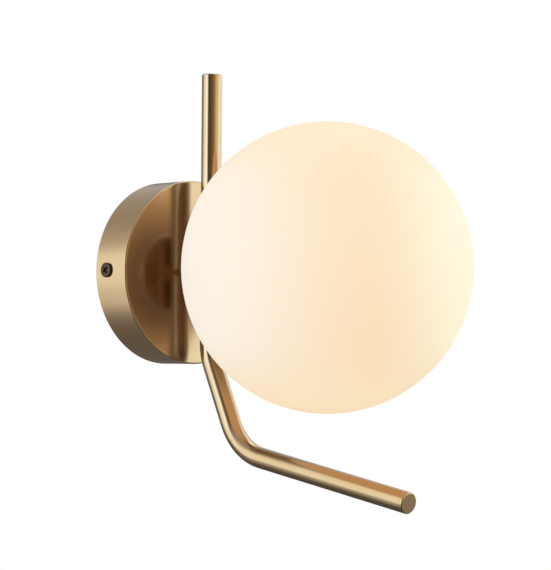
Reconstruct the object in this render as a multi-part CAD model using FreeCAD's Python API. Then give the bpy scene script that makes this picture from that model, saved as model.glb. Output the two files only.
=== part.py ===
import FreeCAD, Part
import math
import os

# Globe wall light on a bent brass rod. All sizes are in millimetres and degrees.
# Frame: X runs along the wall, Z is up, the wall is the plane Y = 0 and the light stands
# out towards -Y. The origin is where the axis of the canopy meets the wall. A "depth" is
# the distance out from the wall, so it lies at Y = -depth.

# Canopy: the round brass cup that covers the wall box
canopy_diameter = 100.0
canopy_depth = 24.0
canopy_wall = 1.0
canopy_edge_radius = 1.6
canopy_tube_clearance = 0.2
side_screw_depth = 9.0
side_screw_hole_clearance = 0.3

# Rod: one tube, upright in front of the canopy, then bent twice to run under the globe
rod_diameter = 11.0
rod_wall = 1.0
rod_stand_off = 7.0
rod_top_height = 107.3
upper_corner_drop = 44.7
upper_leg_tilt = 25.0
lower_corner_drop = 96.4
lower_leg_tilt = 80.0
lower_leg_length = 123.9
rod_bend_radius = 32.0
rod_cross_hole_clearance = 0.1

# Caps that close the two ends of the rod
top_cap_length = 9.0
end_cap_length = 2.0
cap_edge_radius = 0.6
cap_spigot_length = 8.0
cap_spigot_clearance = 0.05

# Globe: blown opal glass with a neck that screws into the fitter
globe_diameter = 150.0
globe_wall = 2.5
globe_gap = 8.1
neck_diameter = 38.0
neck_bore = 32.0
neck_outer_fillet = 2.0
neck_inner_fillet = 2.0
neck_lip_radius = 0.8

# Fitter: the brass cup behind the globe that takes the neck
fitter_plate = 1.5
fitter_wall = 2.2
fitter_depth = 8.0
fitter_edge_radius = 2.4
fitter_lip_radius = 0.5
neck_thread_clearance = 0.3
spacer_crown = 1.0
spacer_diameter = 10.5
gasket_thickness = 1.0
gasket_margin = 0.2

# Hollow threaded tube that ties canopy, rod and fitter together and carries the leads
tube_diameter = 8.0
tube_bore = 5.6
tube_rear_reach = 8.0
tube_front_reach = 5.5
bush_bore = 4.4
bush_flange_diameter = 7.6
bush_flange = 1.0
bush_sleeve_length = 4.0
bush_sleeve_clearance = 0.05

# Nuts and the washer on the tube
rear_nut_width = 13.0
rear_nut_thickness = 4.0
rear_washer_diameter = 20.0
rear_washer_thickness = 1.2
front_nut_width = 11.5
front_nut_thickness = 3.5
nut_chamfer_angle = 30.0

# Wall bracket: a steel strap with its two ends bent forward for the side screws
bracket_thickness = 1.5
bracket_width = 20.0
bracket_bend_radius = 1.5
bracket_corner_radius = 3.0
tab_width = 14.0
tab_gap = 1.0
tab_reach = 15.0
wall_slot_spacing = 60.0
wall_slot_width = 5.0
wall_slot_length = 15.0
tongue_width = 22.0
tongue_reach = 35.0
earth_screw_offset = 15.0
earth_boss_diameter = 7.5
earth_boss_height = 2.0

# Screws: nominal size, head and length under the head
side_screw_size = 4.0
side_screw_head = 8.0
side_screw_head_height = 2.6
side_screw_length = 10.0
earth_screw_size = 4.0
earth_screw_head = 7.0
earth_screw_head_height = 2.6
earth_tag_thickness = 0.8
earth_tag_diameter = 7.4
earth_tag_neck_width = 3.2
earth_tag_reach = 7.4
small_screw_size = 3.0
small_screw_head = 5.5
small_screw_head_height = 1.8
thread_clearance = 0.05
head_edge_radius = 0.9
tip_chamfer = 0.4
recess_width = 1.0
recess_share_of_head = 0.56
recess_depth = 1.3

# Terminal block on the bracket's tongue
terminal_pitch = 8.0
terminal_poles = 3
terminal_length = 17.0
terminal_base_height = 9.6
terminal_height = 13.0
terminal_lift = 15.0
terminal_wall = 1.5
terminal_axis_depth = 6.6
terminal_bore = 3.4
terminal_clamp_width = 5.0
terminal_tower_length = 5.0
terminal_screw_diameter = 2.8
terminal_screw_length = 3.6
terminal_screw_bite = 1.0
terminal_screw_inset = 3.4

# Bracket that holds the lampholder in the fitter
holder_bracket_thickness = 0.8
holder_bracket_width = 12.0
holder_bracket_inside = 14.4
holder_bracket_span = 28.6
holder_stand = 13.0
holder_bracket_bend = 0.4

# Ceramic lampholder for a push-in two-pin bulb
holder_flange_diameter = 29.0
holder_flange = 4.0
holder_body_diameter = 21.0
holder_body_length = 14.0
holder_edge_radius = 1.0
holder_screw_spacing = 22.8
holder_screw_end_gap = 0.5
holder_recess_length = 16.0
holder_recess_width = 9.6
holder_recess_depth = 4.5
pin_spacing = 9.0
pin_slot_length = 4.6
pin_slot_width = 2.2
pin_slot_depth = 9.5
holder_lead_spacing = 7.2
holder_lead_bore = 2.4
holder_lead_hole_depth = 4.0
contact_thickness = 0.3

# Bulb
bulb_clearance = 0.3
bulb_base_length = 8.0
bulb_collar_diameter = 15.0
bulb_collar_length = 5.0
bulb_diameter = 16.5
bulb_length = 38.0
bulb_wall = 0.8
bulb_shoulder_radius = 3.0
pin_wire = 0.9
pin_loop_width = 2.6
pin_length = 8.0

# Leads inside the light
lead_diameter = 1.8
lead_pair_spacing = 2.2
lead_block_run = 1.8
lead_rear_run = 2.4
lead_front_run = 1.8
lead_holder_run = 1.2
lead_end_gap = 0.2
lead_sag = 0.3
lead_swing_rise = 3.2
live_swing = 3.2
neutral_swing = 1.4
earth_lead_run = 1.6
earth_lead_overlap = 2.4
arc_share_of_run = 0.45

# Two coordinates this close count as the same when an edge is looked up
same_place = 1e-4

# Places that follow from the sizes above
canopy_radius = canopy_diameter / 2
rod_radius = rod_diameter / 2
globe_radius = globe_diameter / 2
tube_radius = tube_diameter / 2
rod_axis_depth = canopy_depth + rod_stand_off + rod_radius
rod_front_depth = rod_axis_depth + rod_radius
globe_centre_depth = rod_front_depth + globe_gap + globe_radius
fitter_back_depth = rod_front_depth + spacer_crown
fitter_floor_depth = fitter_back_depth + fitter_plate
neck_end_depth = fitter_floor_depth + gasket_thickness
front_nut_depth = fitter_floor_depth + holder_bracket_thickness
tube_front_depth = fitter_floor_depth + tube_front_reach
canopy_floor_depth = canopy_depth - canopy_wall
rear_nut_depth = canopy_floor_depth - rear_washer_thickness - rear_nut_thickness
tube_rear_depth = canopy_floor_depth - tube_rear_reach
holder_back_depth = fitter_floor_depth + holder_stand
holder_body_depth = holder_back_depth + holder_flange
holder_front_depth = holder_body_depth + holder_body_length
bulb_seat_depth = holder_front_depth - holder_recess_depth
bulb_collar_depth = bulb_seat_depth + bulb_base_length
bulb_envelope_depth = bulb_collar_depth + bulb_collar_length
tab_face = canopy_radius - canopy_wall - tab_gap
small_hole_radius = small_screw_size / 2
terminal_top_lift = terminal_lift + terminal_length
terminal_front_depth = bracket_thickness + terminal_height


# Basic forms

def at(x, depth, z):
    """A point from its place along the wall, its depth out from the wall and its height."""
    return FreeCAD.Vector(x, -depth, z)


forward = FreeCAD.Vector(0, -1, 0)
up = FreeCAD.Vector(0, 0, 1)


def round_bar(radius, start_depth, end_depth, x=0.0, z=0.0):
    """A cylinder that stands out from the wall."""
    return Part.makeCylinder(radius, end_depth - start_depth, at(x, start_depth, z), forward)


def block(x_low, x_high, depth_low, depth_high, z_low, z_high):
    """A plain block between two corners."""
    corner = at(x_low, depth_high, z_low)
    return Part.makeBox(x_high - x_low, depth_high - depth_low, z_high - z_low, corner)


def oblong(length, width, start_depth, end_depth, x=0.0, z=0.0, upright=False):
    """A slot-shaped bar with half-round ends, long along X or, when upright, along Z."""
    radius = width / 2
    offset = length / 2 - radius
    ends = [(x - offset, z), (x + offset, z)]
    middle = block(x - offset, x + offset, start_depth, end_depth, z - radius, z + radius)
    if upright:
        ends = [(x, z - offset), (x, z + offset)]
        middle = block(x - radius, x + radius, start_depth, end_depth, z - offset, z + offset)
    bars = [round_bar(radius, start_depth, end_depth, end_x, end_z) for end_x, end_z in ends]
    return middle.fuse(bars).removeSplitter()


def edges_at_depth(shape, depth):
    """The edges of a shape that lie wholly at one depth."""
    def lies_there(edge):
        box = edge.BoundBox
        return abs(box.YMin + depth) < same_place and abs(box.YMax + depth) < same_place

    return [edge for edge in shape.Edges if lies_there(edge)]


def rounded_bar(radius, start_depth, end_depth, front_edge=0.0, back_edge=0.0):
    """A cylinder on the light's own axis, with rounded rims."""
    bar = round_bar(radius, start_depth, end_depth)
    if front_edge > 0:
        bar = bar.makeFillet(front_edge, edges_at_depth(bar, end_depth))
    if back_edge > 0:
        bar = bar.makeFillet(back_edge, edges_at_depth(bar, start_depth))
    return bar


def turned(edges):
    """A body turned about the light's axis from a closed half outline."""
    face = Part.Face(Part.Wire(edges))
    return Part.makeSolid(face.revolve(FreeCAD.Vector(0, 0, 0), forward, 360))


def half_point(radius, depth):
    """A point of a half outline: a radius from the light's axis and a depth."""
    return at(radius, depth, 0)


def line(start, end):
    return Part.LineSegment(start, end).toShape()


def arc(start, middle, end):
    return Part.Arc(start, middle, end).toShape()


def arc_about(centre, start, end):
    """The shorter arc from start to end round a centre that is as far from both."""
    bisector = (start - centre) + (end - centre)
    bisector.normalize()
    return arc(start, centre + bisector * (start - centre).Length, end)


# Bent tubes and leads

def corner_turn(before, corner, after):
    """The angle by which a route turns at a corner, in radians."""
    return (corner - before).getAngle(after - corner)


def roomy_radii(points):
    """A bend radius for each inner corner of a route, as large as its two runs allow."""
    radii = []
    for before, corner, after in zip(points, points[1:], points[2:]):
        shorter_run = min((corner - before).Length, (after - corner).Length)
        half_turn = corner_turn(before, corner, after) / 2
        radii.append(arc_share_of_run * shorter_run / math.tan(half_turn))
    return radii


def bent_path(points, radii):
    """Straight runs joined by tangent arcs, as one wire."""
    edges = []
    run_start = points[0]
    for before, corner, after, radius in zip(points, points[1:], points[2:], radii):
        arriving = (corner - before).normalize()
        leaving = (after - corner).normalize()
        half_turn = corner_turn(before, corner, after) / 2
        tangent = radius * math.tan(half_turn)
        arc_start = corner - arriving * tangent
        arc_end = corner + leaving * tangent
        inward = (leaving - arriving).normalize()
        arc_middle = corner + inward * (radius / math.cos(half_turn) - radius)
        edges.append(line(run_start, arc_start))
        edges.append(arc(arc_start, arc_middle, arc_end))
        run_start = arc_end
    edges.append(line(run_start, points[-1]))
    return Part.Wire(edges)


def swept_round(path, radius):
    """A round bar that follows a path."""
    first = path.Edges[0]
    start = first.valueAt(first.FirstParameter)
    direction = first.tangentAt(first.FirstParameter)
    section = Part.Wire(Part.makeCircle(radius, start, direction))
    return path.makePipeShell([section], True, False)


def lead(name, points, diameter):
    """An insulated lead along a route, and a line that says how it bends."""
    radii = roomy_radii(points)
    path = bent_path(points, radii)
    solid = swept_round(path, diameter / 2)
    expected = math.pi * diameter ** 2 / 4 * path.Length
    listed = ", ".join(f"{radius:.1f}" for radius in radii)
    print(f"{name}: {path.Length:.1f} long, radii {listed}, volume ratio {solid.Volume / expected:.4f}")
    return solid


# Screws and nuts, made on their own axis and then set in place

def set_along(shape, place, direction):
    """Turn a shape made along +Z to a direction and put its origin in place."""
    turned_shape = shape.copy()
    turned_shape.Placement = FreeCAD.Placement(place, FreeCAD.Rotation(up, direction))
    return turned_shape


def pan_screw(size, head, head_height, length):
    """A pan-head screw with a cross recess; its head stands up from z = 0."""
    shank_radius = size / 2 - thread_clearance
    cap = Part.makeCylinder(head / 2, head_height)
    top = [edge for edge in cap.Edges if abs(edge.BoundBox.ZMin - head_height) < same_place]
    cap = cap.makeFillet(head_edge_radius, top)
    shank = Part.makeCylinder(shank_radius, length, FreeCAD.Vector(0, 0, -length))
    tip = [edge for edge in shank.Edges if abs(edge.BoundBox.ZMax + length) < same_place]
    shank = shank.makeChamfer(tip_chamfer, tip)
    screw = cap.fuse(shank)
    arm = head * recess_share_of_head
    floor = head_height - recess_depth
    corner = FreeCAD.Vector(-arm / 2, -recess_width / 2, floor)
    bar = Part.makeBox(arm, recess_width, recess_depth, corner)
    crossed = bar.copy()
    crossed.rotate(FreeCAD.Vector(0, 0, 0), up, 90)
    return screw.cut([bar, crossed]).removeSplitter()


def hexagon_nut(width, thickness, start_depth, corners_upright):
    """A hexagon nut on the light's axis, its corners chamfered by a cone on both sides."""
    corner_radius = width / 2 / math.cos(math.pi / 6)
    first = math.pi / 2 if corners_upright else 0.0
    corners = []
    for index in range(7):
        angle = first + index * math.pi / 3
        corners.append(at(corner_radius * math.cos(angle), start_depth, corner_radius * math.sin(angle)))
    prism = Part.Face(Part.makePolygon(corners)).extrude(forward * thickness)
    rise = (corner_radius - width / 2) * math.tan(math.radians(nut_chamfer_angle))
    end_depth = start_depth + thickness
    outline = [(0, start_depth), (width / 2, start_depth), (corner_radius, start_depth + rise),
               (corner_radius, end_depth - rise), (width / 2, end_depth), (0, end_depth)]
    points = [half_point(radius, depth) for radius, depth in outline]
    envelope = turned([line(a, b) for a, b in zip(points, points[1:] + points[:1])])
    return prism.common(envelope).cut(round_bar(tube_radius, start_depth, end_depth))


# Wall side

def strap_channel():
    """The strap with both ends bent forward, rounded inside and outside of its two bends."""
    half = bracket_width / 2
    inside = tab_face - bracket_thickness
    strap = block(-tab_face, tab_face, 0, tab_reach, -half, half)
    channel = strap.cut(block(-inside, inside, bracket_thickness, tab_reach, -half, half))
    outer_bend = (0, tab_face, bracket_bend_radius + bracket_thickness)
    inner_bend = (bracket_thickness, inside, bracket_bend_radius)
    for depth, reach, radius in (outer_bend, inner_bend):
        bends = [edge for edge in edges_at_depth(channel, depth)
                 if edge.BoundBox.ZLength > half and abs(abs(edge.BoundBox.XMin) - reach) < same_place]
        channel = channel.makeFillet(radius, bends)
    return channel


def narrowed_to_tabs(channel):
    """The strap narrows to its tabs, so that they clear the round wall of the canopy."""
    half = bracket_width / 2
    tab_half = tab_width / 2
    neck_reach = tab_face - bracket_bend_radius - bracket_thickness - (half - tab_half)
    for x_side in (-1, 1):
        for z_side in (-1, 1):
            low_x, high_x = sorted((x_side * neck_reach, x_side * tab_face))
            low_z, high_z = sorted((z_side * tab_half, z_side * half))
            channel = channel.cut(block(low_x, high_x, 0, tab_reach, low_z, high_z))
    tips = [edge for edge in edges_at_depth(channel, tab_reach)
            if edge.BoundBox.ZLength < same_place]
    return channel.makeFillet(bracket_corner_radius, tips)


def bracket_tongue():
    """The tongue that stands up from the strap and carries the terminal block."""
    half = tongue_width / 2
    tongue = block(-half, half, 0, bracket_thickness, 0, tongue_reach)
    corners = [edge for edge in tongue.Edges
               if edge.BoundBox.YLength > bracket_thickness / 2
               and abs(edge.BoundBox.ZMin - tongue_reach) < same_place]
    return tongue.makeFillet(bracket_corner_radius, corners)


def bracket_holes():
    """Wall slots, the screw holes of both tabs, and the holes under block and earth screw."""
    boss_top = bracket_thickness + earth_boss_height
    cuts = [round_bar(earth_screw_size / 2, 0, boss_top, earth_screw_offset)]
    for side in (-1, 1):
        slot_x = side * wall_slot_spacing / 2
        cuts.append(oblong(wall_slot_length, wall_slot_width, 0, bracket_thickness, slot_x))
        start = at(side * (tab_face - bracket_thickness), side_screw_depth, 0)
        outward = FreeCAD.Vector(side, 0, 0)
        cuts.append(Part.makeCylinder(side_screw_size / 2, bracket_thickness, start, outward))
    for screw_x in block_screw_places():
        cuts.append(round_bar(small_hole_radius, 0, bracket_thickness, screw_x, terminal_middle()))
    return cuts


def make_wall_bracket():
    """Steel strap: flat on the wall, two slots, two bent tabs, a tongue and an earth boss."""
    boss_top = bracket_thickness + earth_boss_height
    boss = round_bar(earth_boss_diameter / 2, 0, boss_top, earth_screw_offset)
    strap = narrowed_to_tabs(strap_channel())
    bracket = strap.fuse([bracket_tongue(), boss]).removeSplitter()
    return bracket.cut(bracket_holes()).removeSplitter()


def make_canopy():
    """Drawn brass cup, open to the wall, with its centre hole and two side holes."""
    inner_edge = max(canopy_edge_radius - canopy_wall, 0.0)
    shell = rounded_bar(canopy_radius, 0, canopy_depth, front_edge=canopy_edge_radius)
    hollow = rounded_bar(canopy_radius - canopy_wall, 0, canopy_floor_depth, front_edge=inner_edge)
    centre_hole = round_bar(tube_radius + canopy_tube_clearance, canopy_floor_depth, canopy_depth)
    hole_radius = side_screw_size / 2 + side_screw_hole_clearance
    start = at(-canopy_radius, side_screw_depth, 0)
    side_holes = Part.makeCylinder(hole_radius, canopy_diameter, start, FreeCAD.Vector(1, 0, 0))
    return shell.cut([hollow, centre_hole, side_holes])


def make_side_screw(side):
    """One of the two black pan-head screws that hold the canopy on the bracket."""
    screw = pan_screw(side_screw_size, side_screw_head, side_screw_head_height, side_screw_length)
    return set_along(screw, at(side * canopy_radius, side_screw_depth, 0), FreeCAD.Vector(side, 0, 0))


# Terminal block and earth point

def pole_places():
    """Where the poles of the terminal block lie along X."""
    middle = (terminal_poles - 1) / 2
    return [(index - middle) * terminal_pitch for index in range(terminal_poles)]


def block_screw_places():
    """The fixing holes lie between the poles."""
    poles = pole_places()
    return [(left + right) / 2 for left, right in zip(poles, poles[1:])]


def terminal_middle():
    return terminal_lift + terminal_length / 2


def terminal_screw_heights():
    return [terminal_lift + terminal_screw_inset, terminal_top_lift - terminal_screw_inset]


def make_terminal_block():
    """Moulded strip: one base, two screw towers on each pole, a through bore and fixing holes."""
    half = terminal_poles * terminal_pitch / 2
    base_front = bracket_thickness + terminal_base_height
    body = block(-half, half, bracket_thickness, base_front, terminal_lift, terminal_top_lift)
    towers = []
    cuts = []
    clamp_half = terminal_clamp_width / 2
    for pole_x in pole_places():
        for screw_z in terminal_screw_heights():
            tower_half = terminal_tower_length / 2
            towers.append(block(pole_x - tower_half, pole_x + tower_half, base_front,
                                terminal_front_depth, screw_z - tower_half, screw_z + tower_half))
            cuts.append(round_bar(terminal_screw_diameter / 2, terminal_axis_depth,
                                  terminal_front_depth, pole_x, screw_z))
        cuts.append(block(pole_x - clamp_half, pole_x + clamp_half,
                          terminal_axis_depth - clamp_half, terminal_axis_depth + clamp_half,
                          terminal_lift + terminal_wall, terminal_top_lift - terminal_wall))
        start = at(pole_x, terminal_axis_depth, terminal_lift)
        cuts.append(Part.makeCylinder(terminal_bore / 2, terminal_length, start, up))
    for screw_x in block_screw_places():
        cuts.append(round_bar(small_hole_radius, bracket_thickness, base_front,
                              screw_x, terminal_middle()))
    return body.fuse(towers).removeSplitter().cut(cuts)


def make_terminal_clamps():
    """The brass clamp inside each pole of the terminal block."""
    half = terminal_clamp_width / 2
    clamps = []
    for pole_x in pole_places():
        clamp = block(pole_x - half, pole_x + half, terminal_axis_depth - half,
                      terminal_axis_depth + half, terminal_lift + terminal_wall,
                      terminal_top_lift - terminal_wall)
        start = at(pole_x, terminal_axis_depth, terminal_lift)
        cuts = [Part.makeCylinder(terminal_bore / 2, terminal_length, start, up)]
        for screw_z in terminal_screw_heights():
            cuts.append(round_bar(terminal_screw_diameter / 2, terminal_axis_depth,
                                  terminal_front_depth, pole_x, screw_z))
        clamps.append(clamp.cut(cuts))
    return Part.makeCompound(clamps)


def make_terminal_screws():
    """The clamping screws, each down its tower with a driver slot across its head."""
    screws = []
    tip_depth = terminal_axis_depth + terminal_clamp_width / 2 - terminal_screw_bite
    radius = terminal_screw_diameter / 2 - thread_clearance
    for pole_x in pole_places():
        for screw_z in terminal_screw_heights():
            end = tip_depth + terminal_screw_length
            screw = round_bar(radius, tip_depth, end, pole_x, screw_z)
            slot = block(pole_x - radius, pole_x + radius, end - recess_width, end,
                         screw_z - recess_width / 3, screw_z + recess_width / 3)
            screws.append(screw.cut(slot))
    return Part.makeCompound(screws)


def make_block_screws():
    """The two screws that hold the terminal block on the bracket's tongue."""
    screws = []
    base_front = bracket_thickness + terminal_base_height
    for screw_x in block_screw_places():
        screw = pan_screw(small_screw_size, small_screw_head, small_screw_head_height, base_front)
        screws.append(set_along(screw, at(screw_x, base_front, terminal_middle()), forward))
    return Part.makeCompound(screws)


def earth_tag_depth():
    return bracket_thickness + earth_boss_height


def make_earth_tag():
    """Ring tag on the earth boss, with a flat neck that rises to its lead."""
    depth = earth_tag_depth()
    ring = round_bar(earth_tag_diameter / 2, depth, depth + earth_tag_thickness, earth_screw_offset)
    half = earth_tag_neck_width / 2
    neck = block(earth_screw_offset - half, earth_screw_offset + half, depth,
                 depth + earth_tag_thickness, 0, earth_tag_reach)
    hole = round_bar(earth_screw_size / 2, depth, depth + earth_tag_thickness, earth_screw_offset)
    return ring.fuse(neck).cut(hole).removeSplitter()


def make_earth_screw():
    """Earth screw: its tip ends flush inside the bracket."""
    head_seat = earth_tag_depth() + earth_tag_thickness
    screw = pan_screw(earth_screw_size, earth_screw_head, earth_screw_head_height, head_seat)
    return set_along(screw, at(earth_screw_offset, head_seat, 0), forward)


# Rod and what it hangs on

def rod_corners():
    """Corner points of the rod's centre line, from its top end to its front end."""
    upper = at(0, rod_axis_depth, -upper_corner_drop)
    tilt = math.radians(upper_leg_tilt)
    fall = lower_corner_drop - upper_corner_drop
    lower = upper + at(0, math.tan(tilt), -1) * fall
    front = lower + lower_leg_direction() * lower_leg_length
    return [at(0, rod_axis_depth, rod_top_height), upper, lower, front]


def lower_leg_direction():
    tilt = math.radians(lower_leg_tilt)
    return at(0, math.sin(tilt), -math.cos(tilt))


def make_rod():
    """Bent brass tube, drilled across where the threaded tube passes through it."""
    points = rod_corners()
    points[0] = points[0] - up * top_cap_length
    points[-1] = points[-1] - lower_leg_direction() * end_cap_length
    path = bent_path(points, [rod_bend_radius, rod_bend_radius])
    bar = swept_round(path, rod_radius)
    bore = swept_round(path, rod_radius - rod_wall)
    radius = tube_radius + rod_cross_hole_clearance
    cross_hole = round_bar(radius, rod_axis_depth - rod_diameter, rod_axis_depth + rod_diameter)
    return bar.cut([bore, cross_hole])


def rod_cap(length, tip, direction):
    """End cap: a disc as wide as the rod, with a rounded rim and a spigot inside the tube."""
    disc = Part.makeCylinder(rod_radius, length, FreeCAD.Vector(0, 0, -length))
    rim = [edge for edge in disc.Edges if abs(edge.BoundBox.ZMin) < same_place]
    disc = disc.makeFillet(cap_edge_radius, rim)
    spigot_radius = rod_radius - rod_wall - cap_spigot_clearance
    start = FreeCAD.Vector(0, 0, -length - cap_spigot_length)
    spigot = Part.makeCylinder(spigot_radius, cap_spigot_length, start)
    end = [edge for edge in spigot.Edges if abs(edge.BoundBox.ZMax - start.z) < same_place]
    spigot = spigot.makeChamfer(tip_chamfer, end)
    return set_along(disc.fuse(spigot), tip, direction)


def make_top_cap():
    return rod_cap(top_cap_length, rod_corners()[0], up)


def make_end_cap():
    return rod_cap(end_cap_length, rod_corners()[-1], lower_leg_direction())


def coped_spacer(start_depth, end_depth):
    """Round spacer with one end hollowed to sit on the rod, bored for the threaded tube."""
    spacer = round_bar(spacer_diameter / 2, start_depth, end_depth)
    foot = at(0, rod_axis_depth, -spacer_diameter)
    rod_space = Part.makeCylinder(rod_radius, 2 * spacer_diameter, foot, up)
    bore = round_bar(tube_radius + rod_cross_hole_clearance, start_depth, end_depth)
    return spacer.cut([rod_space, bore])


def make_rear_spacer():
    return coped_spacer(canopy_depth, rod_axis_depth)


def make_front_spacer():
    return coped_spacer(rod_axis_depth, fitter_back_depth)


def make_threaded_tube():
    """Hollow tube from inside the canopy, through the rod, to inside the fitter."""
    tube = round_bar(tube_radius, tube_rear_depth, tube_front_depth)
    return tube.cut(round_bar(tube_bore / 2, tube_rear_depth, tube_front_depth))


def make_tube_bushes():
    """Plastic bushes in both ends of the tube, so that its edge doesn't cut the leads."""
    bushes = []
    sleeve_radius = tube_bore / 2 - bush_sleeve_clearance
    for end_depth, inward in ((tube_rear_depth, 1), (tube_front_depth, -1)):
        flange = sorted((end_depth, end_depth - inward * bush_flange))
        sleeve = sorted((end_depth, end_depth + inward * bush_sleeve_length))
        bush = round_bar(bush_flange_diameter / 2, *flange).fuse(round_bar(sleeve_radius, *sleeve))
        bushes.append(bush.cut(round_bar(bush_bore / 2, flange[0] + sleeve[0] - end_depth,
                                         flange[1] + sleeve[1] - end_depth)))
    return Part.makeCompound(bushes)


def make_rear_washer():
    start = canopy_floor_depth - rear_washer_thickness
    washer = round_bar(rear_washer_diameter / 2, start, canopy_floor_depth)
    return washer.cut(round_bar(tube_radius + canopy_tube_clearance, start, canopy_floor_depth))


def make_rear_nut():
    return hexagon_nut(rear_nut_width, rear_nut_thickness, rear_nut_depth, corners_upright=False)


def make_front_nut():
    return hexagon_nut(front_nut_width, front_nut_thickness, front_nut_depth, corners_upright=True)


# Globe side

def neck_round(centre_radius, sphere_radius):
    """Depth of the centre of a rounding that meets the globe's sphere from outside it."""
    return globe_centre_depth - math.sqrt(sphere_radius ** 2 - centre_radius ** 2)


def on_sphere(centre, sphere_radius):
    """The point of a sphere about the globe's centre that lies towards a given centre."""
    globe_centre = half_point(0, globe_centre_depth)
    return globe_centre + (centre - globe_centre).normalize() * sphere_radius


def make_globe():
    """Opal glass: a sphere of even wall that runs through rounded corners into its neck."""
    outer = globe_radius
    inner = globe_radius - globe_wall
    neck_radius = neck_diameter / 2
    bore_radius = neck_bore / 2
    centre = half_point(0, globe_centre_depth)
    outer_round_radius = neck_radius + neck_outer_fillet
    outer_round = half_point(outer_round_radius, neck_round(outer_round_radius, outer + neck_outer_fillet))
    inner_round_radius = bore_radius + neck_inner_fillet
    inner_round = half_point(inner_round_radius, neck_round(inner_round_radius, inner + neck_inner_fillet))
    neck_top = half_point(neck_radius, -outer_round.y)
    bore_top = half_point(bore_radius, -inner_round.y)
    outer_start = on_sphere(outer_round, outer)
    inner_start = on_sphere(inner_round, inner)
    lip = neck_lip_radius
    lip_outer = half_point(neck_radius, neck_end_depth + lip)
    lip_outer_end = half_point(neck_radius - lip, neck_end_depth)
    lip_inner_end = half_point(bore_radius + lip, neck_end_depth)
    lip_inner = half_point(bore_radius, neck_end_depth + lip)
    outer_front = half_point(0, globe_centre_depth + outer)
    inner_front = half_point(0, globe_centre_depth + inner)
    outline = [
        arc_about(centre, outer_front, outer_start),
        arc_about(outer_round, outer_start, neck_top),
        line(neck_top, lip_outer),
        arc_about(half_point(neck_radius - lip, neck_end_depth + lip), lip_outer, lip_outer_end),
        line(lip_outer_end, lip_inner_end),
        arc_about(half_point(bore_radius + lip, neck_end_depth + lip), lip_inner_end, lip_inner),
        line(lip_inner, bore_top),
        arc_about(inner_round, bore_top, inner_start),
        arc_about(centre, inner_start, inner_front),
        line(inner_front, outer_front),
    ]
    return turned(outline)


def make_fitter():
    """Spun brass cup: its plate is clamped on the tube and its wall takes the globe's neck."""
    inside = neck_diameter / 2 + neck_thread_clearance
    front = fitter_back_depth + fitter_depth
    shell = rounded_bar(inside + fitter_wall, fitter_back_depth, front,
                        front_edge=fitter_lip_radius, back_edge=fitter_edge_radius)
    hole = round_bar(tube_radius + rod_cross_hole_clearance, fitter_back_depth, fitter_floor_depth)
    return shell.cut([round_bar(inside, fitter_floor_depth, front), hole])


def make_gasket():
    """Silicone ring between the end of the neck and the plate of the fitter."""
    outer = neck_diameter / 2 - gasket_margin
    inner = neck_bore / 2 + gasket_margin
    ring = round_bar(outer, fitter_floor_depth, neck_end_depth)
    return ring.cut(round_bar(inner, fitter_floor_depth, neck_end_depth))


def make_holder_bracket():
    """Bent strip: clamped by the front nut, with two feet out to the lampholder."""
    sheet = holder_bracket_thickness
    half_width = holder_bracket_width / 2
    inside = holder_bracket_inside / 2
    span = holder_bracket_span / 2
    base = fitter_floor_depth
    outline = [
        at(-span, holder_back_depth, 0),
        at(-inside, holder_back_depth, 0),
        at(-inside, base + sheet, 0),
        at(inside, base + sheet, 0),
        at(inside, holder_back_depth, 0),
        at(span, holder_back_depth, 0),
        at(span, holder_back_depth - sheet, 0),
        at(inside + sheet, holder_back_depth - sheet, 0),
        at(inside + sheet, base, 0),
        at(-inside - sheet, base, 0),
        at(-inside - sheet, holder_back_depth - sheet, 0),
        at(-span, holder_back_depth - sheet, 0),
    ]
    face = Part.Face(Part.makePolygon(outline + outline[:1]))
    face.translate(up * -half_width)
    strip = face.extrude(up * holder_bracket_width)

    def is_bend(edge):
        box = edge.BoundBox
        return box.ZLength > half_width and abs(box.XMin) < inside + 2 * sheet

    strip = strip.makeFillet(holder_bracket_bend, [edge for edge in strip.Edges if is_bend(edge)])
    cuts = [round_bar(tube_radius + rod_cross_hole_clearance, base, base + sheet)]
    for side in (-1, 1):
        cuts.append(round_bar(small_hole_radius, holder_back_depth - sheet, holder_back_depth,
                              side * holder_screw_spacing / 2))
    return strip.cut(cuts)


def make_holder_screws():
    """Two screws from behind through the feet of the bracket into the lampholder."""
    screws = []
    seat = holder_back_depth - holder_bracket_thickness
    length = holder_bracket_thickness + holder_flange - holder_screw_end_gap
    for side in (-1, 1):
        screw = pan_screw(small_screw_size, small_screw_head, small_screw_head_height, length)
        screws.append(set_along(screw, at(side * holder_screw_spacing / 2, seat, 0), -forward))
    return Part.makeCompound(screws)


def pin_sides():
    return [-pin_spacing / 2, pin_spacing / 2]


def make_lampholder():
    """Ceramic body with a flange, a recess for the foot of the bulb and two pin slots."""
    flange = rounded_bar(holder_flange_diameter / 2, holder_back_depth, holder_body_depth,
                         front_edge=holder_edge_radius)
    barrel = rounded_bar(holder_body_diameter / 2, holder_back_depth, holder_front_depth,
                         front_edge=holder_edge_radius)
    cuts = [oblong(holder_recess_length, holder_recess_width, bulb_seat_depth, holder_front_depth)]
    for pin_x in pin_sides():
        cuts.append(oblong(pin_slot_length, pin_slot_width, bulb_seat_depth - pin_slot_depth,
                           bulb_seat_depth, pin_x, upright=True))
    for side in (-1, 1):
        cuts.append(round_bar(small_hole_radius, holder_back_depth, holder_body_depth,
                              side * holder_screw_spacing / 2))
        cuts.append(round_bar(holder_lead_bore / 2, holder_back_depth,
                              holder_back_depth + holder_lead_hole_depth,
                              side * holder_lead_spacing / 2))
    return flange.fuse(barrel).removeSplitter().cut(cuts)


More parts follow.
